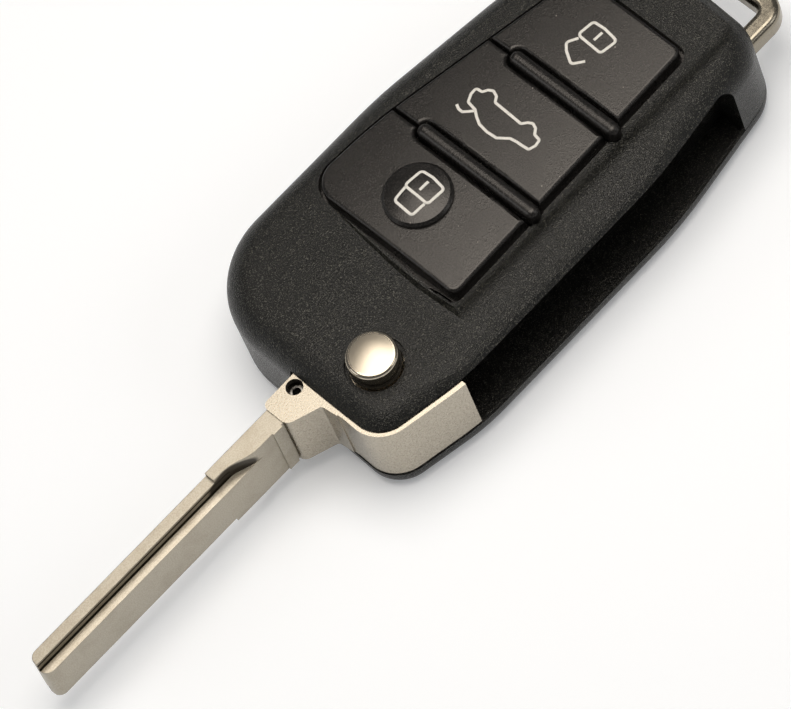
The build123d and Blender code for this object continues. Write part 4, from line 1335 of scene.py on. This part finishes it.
# Coil winding
# Enamelled copper wire wound in one layer between the bobbin's flanges. Real wire is about
# 0.05 mm thick, and it is made 0.2 mm thick so that the turns can be seen.
COPPER_COLOUR = "#9a4f26"
COPPER_LIGHT_COLOUR = "#b8683a"
ENAMEL_PATCH_MM = 0.6
WIRE_MM = 0.2
WINDING_MM = 6.4
WINDING_START_MM = (-21.2, -16.0, 6.7)
WINDING_RADIUS_MM = 1.27
WINDING_TILT = 90
STEPS_A_TURN = 28
WIRE_SIDES = 8
winding_copper, tree, place, output = new_material("Enamelled copper wire")
enamel = add(
    tree, "ShaderNodeTexNoise", {"Vector": place, "Scale": 1 / (ENAMEL_PATCH_MM * MM), "Detail": 2.0}
)
tone = add(
    tree,
    "ShaderNodeMix",
    {
        "Factor": enamel.outputs["Fac"],
        COLOUR_A: linear(COPPER_COLOUR),
        COLOUR_B: linear(COPPER_LIGHT_COLOUR),
    },
    data_type="RGBA",
)
wire = add(
    tree,
    "ShaderNodeBsdfPrincipled",
    {"Base Color": tone.outputs[MIXED], "Metallic": 0.9, "Roughness": 0.28, "Coat Weight": 0.6},
)
tree.links.new(wire.outputs[0], output.inputs["Surface"])


def wound_wire(name, wire_material, place_mm, tilt, sizes_mm, turns, body):
    """A helix of round wire from a start point. It climbs along Z, tilted about Y in degrees."""
    winding, given, made = shape_tree(name, ("Radius", "Length", "Wire", "Turns"))
    half = add(winding, "ShaderNodeMath", {0: given.outputs["Wire"], 1: 0.5}, operation="MULTIPLY")
    path = add(
        winding,
        "GeometryNodeCurveSpiral",
        {
            "Resolution": STEPS_A_TURN,
            "Rotations": given.outputs["Turns"],
            "Start Radius": given.outputs["Radius"],
            "End Radius": given.outputs["Radius"],
            "Height": given.outputs["Length"],
        },
    )
    section = add(
        winding,
        "GeometryNodeCurvePrimitiveCircle",
        {"Resolution": WIRE_SIDES, "Radius": half.outputs[0]},
    )
    strand = add(
        winding,
        "GeometryNodeCurveToMesh",
        {"Curve": path.outputs[0], "Profile Curve": section.outputs[0], "Fill Caps": True},
    )
    laid = add(
        winding,
        "GeometryNodeTransform",
        {
            "Geometry": strand.outputs[0],
            "Rotation": (0, math.radians(tilt), 0),
            "Translation": Vector(place_mm) * MM,
        },
    )
    solid = add(winding, "GeometryNodeRealizeInstances", {0: laid.outputs[0]})
    coated = add(
        winding, "GeometryNodeSetMaterial", {"Geometry": solid.outputs[0], "Material": wire_material}
    )
    winding.links.new(coated.outputs[0], made.inputs[0])
    coil = mesh_object(name, [(0, 0, 0)], [])
    sizes = {size: value * MM for size, value in sizes_mm.items()}
    shaped(coil, winding, {**sizes, "Turns": turns}, body)
    return coil


WINDING_SIZES_MM = {"Radius": WINDING_RADIUS_MM, "Length": WINDING_MM, "Wire": WIRE_MM}
wound_wire(
    "coil_winding",
    winding_copper,
    WINDING_START_MM,
    WINDING_TILT,
    WINDING_SIZES_MM,
    WINDING_MM / WIRE_MM,
    "case",
)

# Flip spring
# Four turns of round spring steel that stand in for the plain CAD helix and ride with the
# release cap. The lower end starts at the CAD helix's foot, on the blade head's floor.
SPRING_RADIUS_MM = 3.25
SPRING_WIRE_MM = 0.8
SPRING_TURNS = 4
SPRING_TILT = 0
spring_low, spring_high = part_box("flip_spring")
spring_mm = (spring_high[2] - spring_low[2]) / MM
SPRING_SIZES_MM = {
    "Radius": SPRING_RADIUS_MM,
    "Length": spring_mm - SPRING_WIRE_MM,
    "Wire": SPRING_WIRE_MM,
}
spring_foot_mm = (0, 0, spring_low[2] / MM + SPRING_WIRE_MM / 2)
coil_spring = wound_wire(
    "coil_spring",
    oiled_steel,
    spring_foot_mm,
    SPRING_TILT,
    SPRING_SIZES_MM,
    SPRING_TURNS,
    "release_button",
)
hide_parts("flip_spring")
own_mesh(coil_spring)

# Coin cell
# A pressed can of stainless steel, spun on a lathe, so its face has fine rings. They are drawn
# further apart than real ones, which are too fine to show.
CELL_COLOUR = "#bdbcb8"
CELL_RING_COLOUR = "#cfcfcb"
CELL_MIDDLE_MM = (-39.6, -10.2, 0)
CELL_RING_MM = 0.7854
CELL_RELIEF_MM = 0.01
cell_steel, tree, place, output = new_material("Spun stainless steel")
centred = add(
    tree, "ShaderNodeVectorMath", {0: place, 1: Vector(CELL_MIDDLE_MM) * MM}, operation="SUBTRACT"
)
# At scale 1 the rings of this texture lie a tenth of pi apart.
rings = add(
    tree,
    "ShaderNodeTexWave",
    {
        "Vector": centred.outputs[0],
        "Scale": math.pi / 10 / (CELL_RING_MM * MM),
        "Distortion": 0.4,
        "Detail": 1.0,
    },
    wave_type="RINGS",
    rings_direction="Z",
)
relief = add(
    tree,
    "ShaderNodeBump",
    {"Height": rings.outputs["Fac"], "Strength": 0.15, "Distance": CELL_RELIEF_MM * MM},
)
tone = add(
    tree,
    "ShaderNodeMix",
    {"Factor": rings.outputs["Fac"], COLOUR_A: linear(CELL_COLOUR), COLOUR_B: linear(CELL_RING_COLOUR)},
    data_type="RGBA",
)
can = add(
    tree,
    "ShaderNodeBsdfPrincipled",
    {
        "Base Color": tone.outputs[MIXED],
        "Metallic": 1.0,
        "Roughness": 0.26,
        "Normal": relief.outputs["Normal"],
    },
)
tree.links.new(can.outputs[0], output.inputs["Surface"])
finish_nodes(cell_steel, "coin_cell")

# Case screw
# A small steel screw, cold headed and zinc plated, with the yellow-grey cast of its
# passivation.
ZINC_COLOUR = "#a8a79c"
ZINC_LIGHT_COLOUR = "#c6c4b4"
ZINC_BLOOM_MM = 0.7
screw_zinc, tree, place, output = new_material("Zinc-plated steel")
bloom = add(
    tree, "ShaderNodeTexNoise", {"Vector": place, "Scale": 1 / (ZINC_BLOOM_MM * MM), "Detail": 3.0}
)
tone = add(
    tree,
    "ShaderNodeMix",
    {
        "Factor": bloom.outputs["Fac"],
        COLOUR_A: linear(ZINC_COLOUR),
        COLOUR_B: linear(ZINC_LIGHT_COLOUR),
    },
    data_type="RGBA",
)
zinc = add(
    tree,
    "ShaderNodeBsdfPrincipled",
    {"Base Color": tone.outputs[MIXED], "Metallic": 1.0, "Roughness": 0.35},
)
tree.links.new(zinc.outputs[0], output.inputs["Surface"])
finish_nodes(screw_zinc, "case_screw")
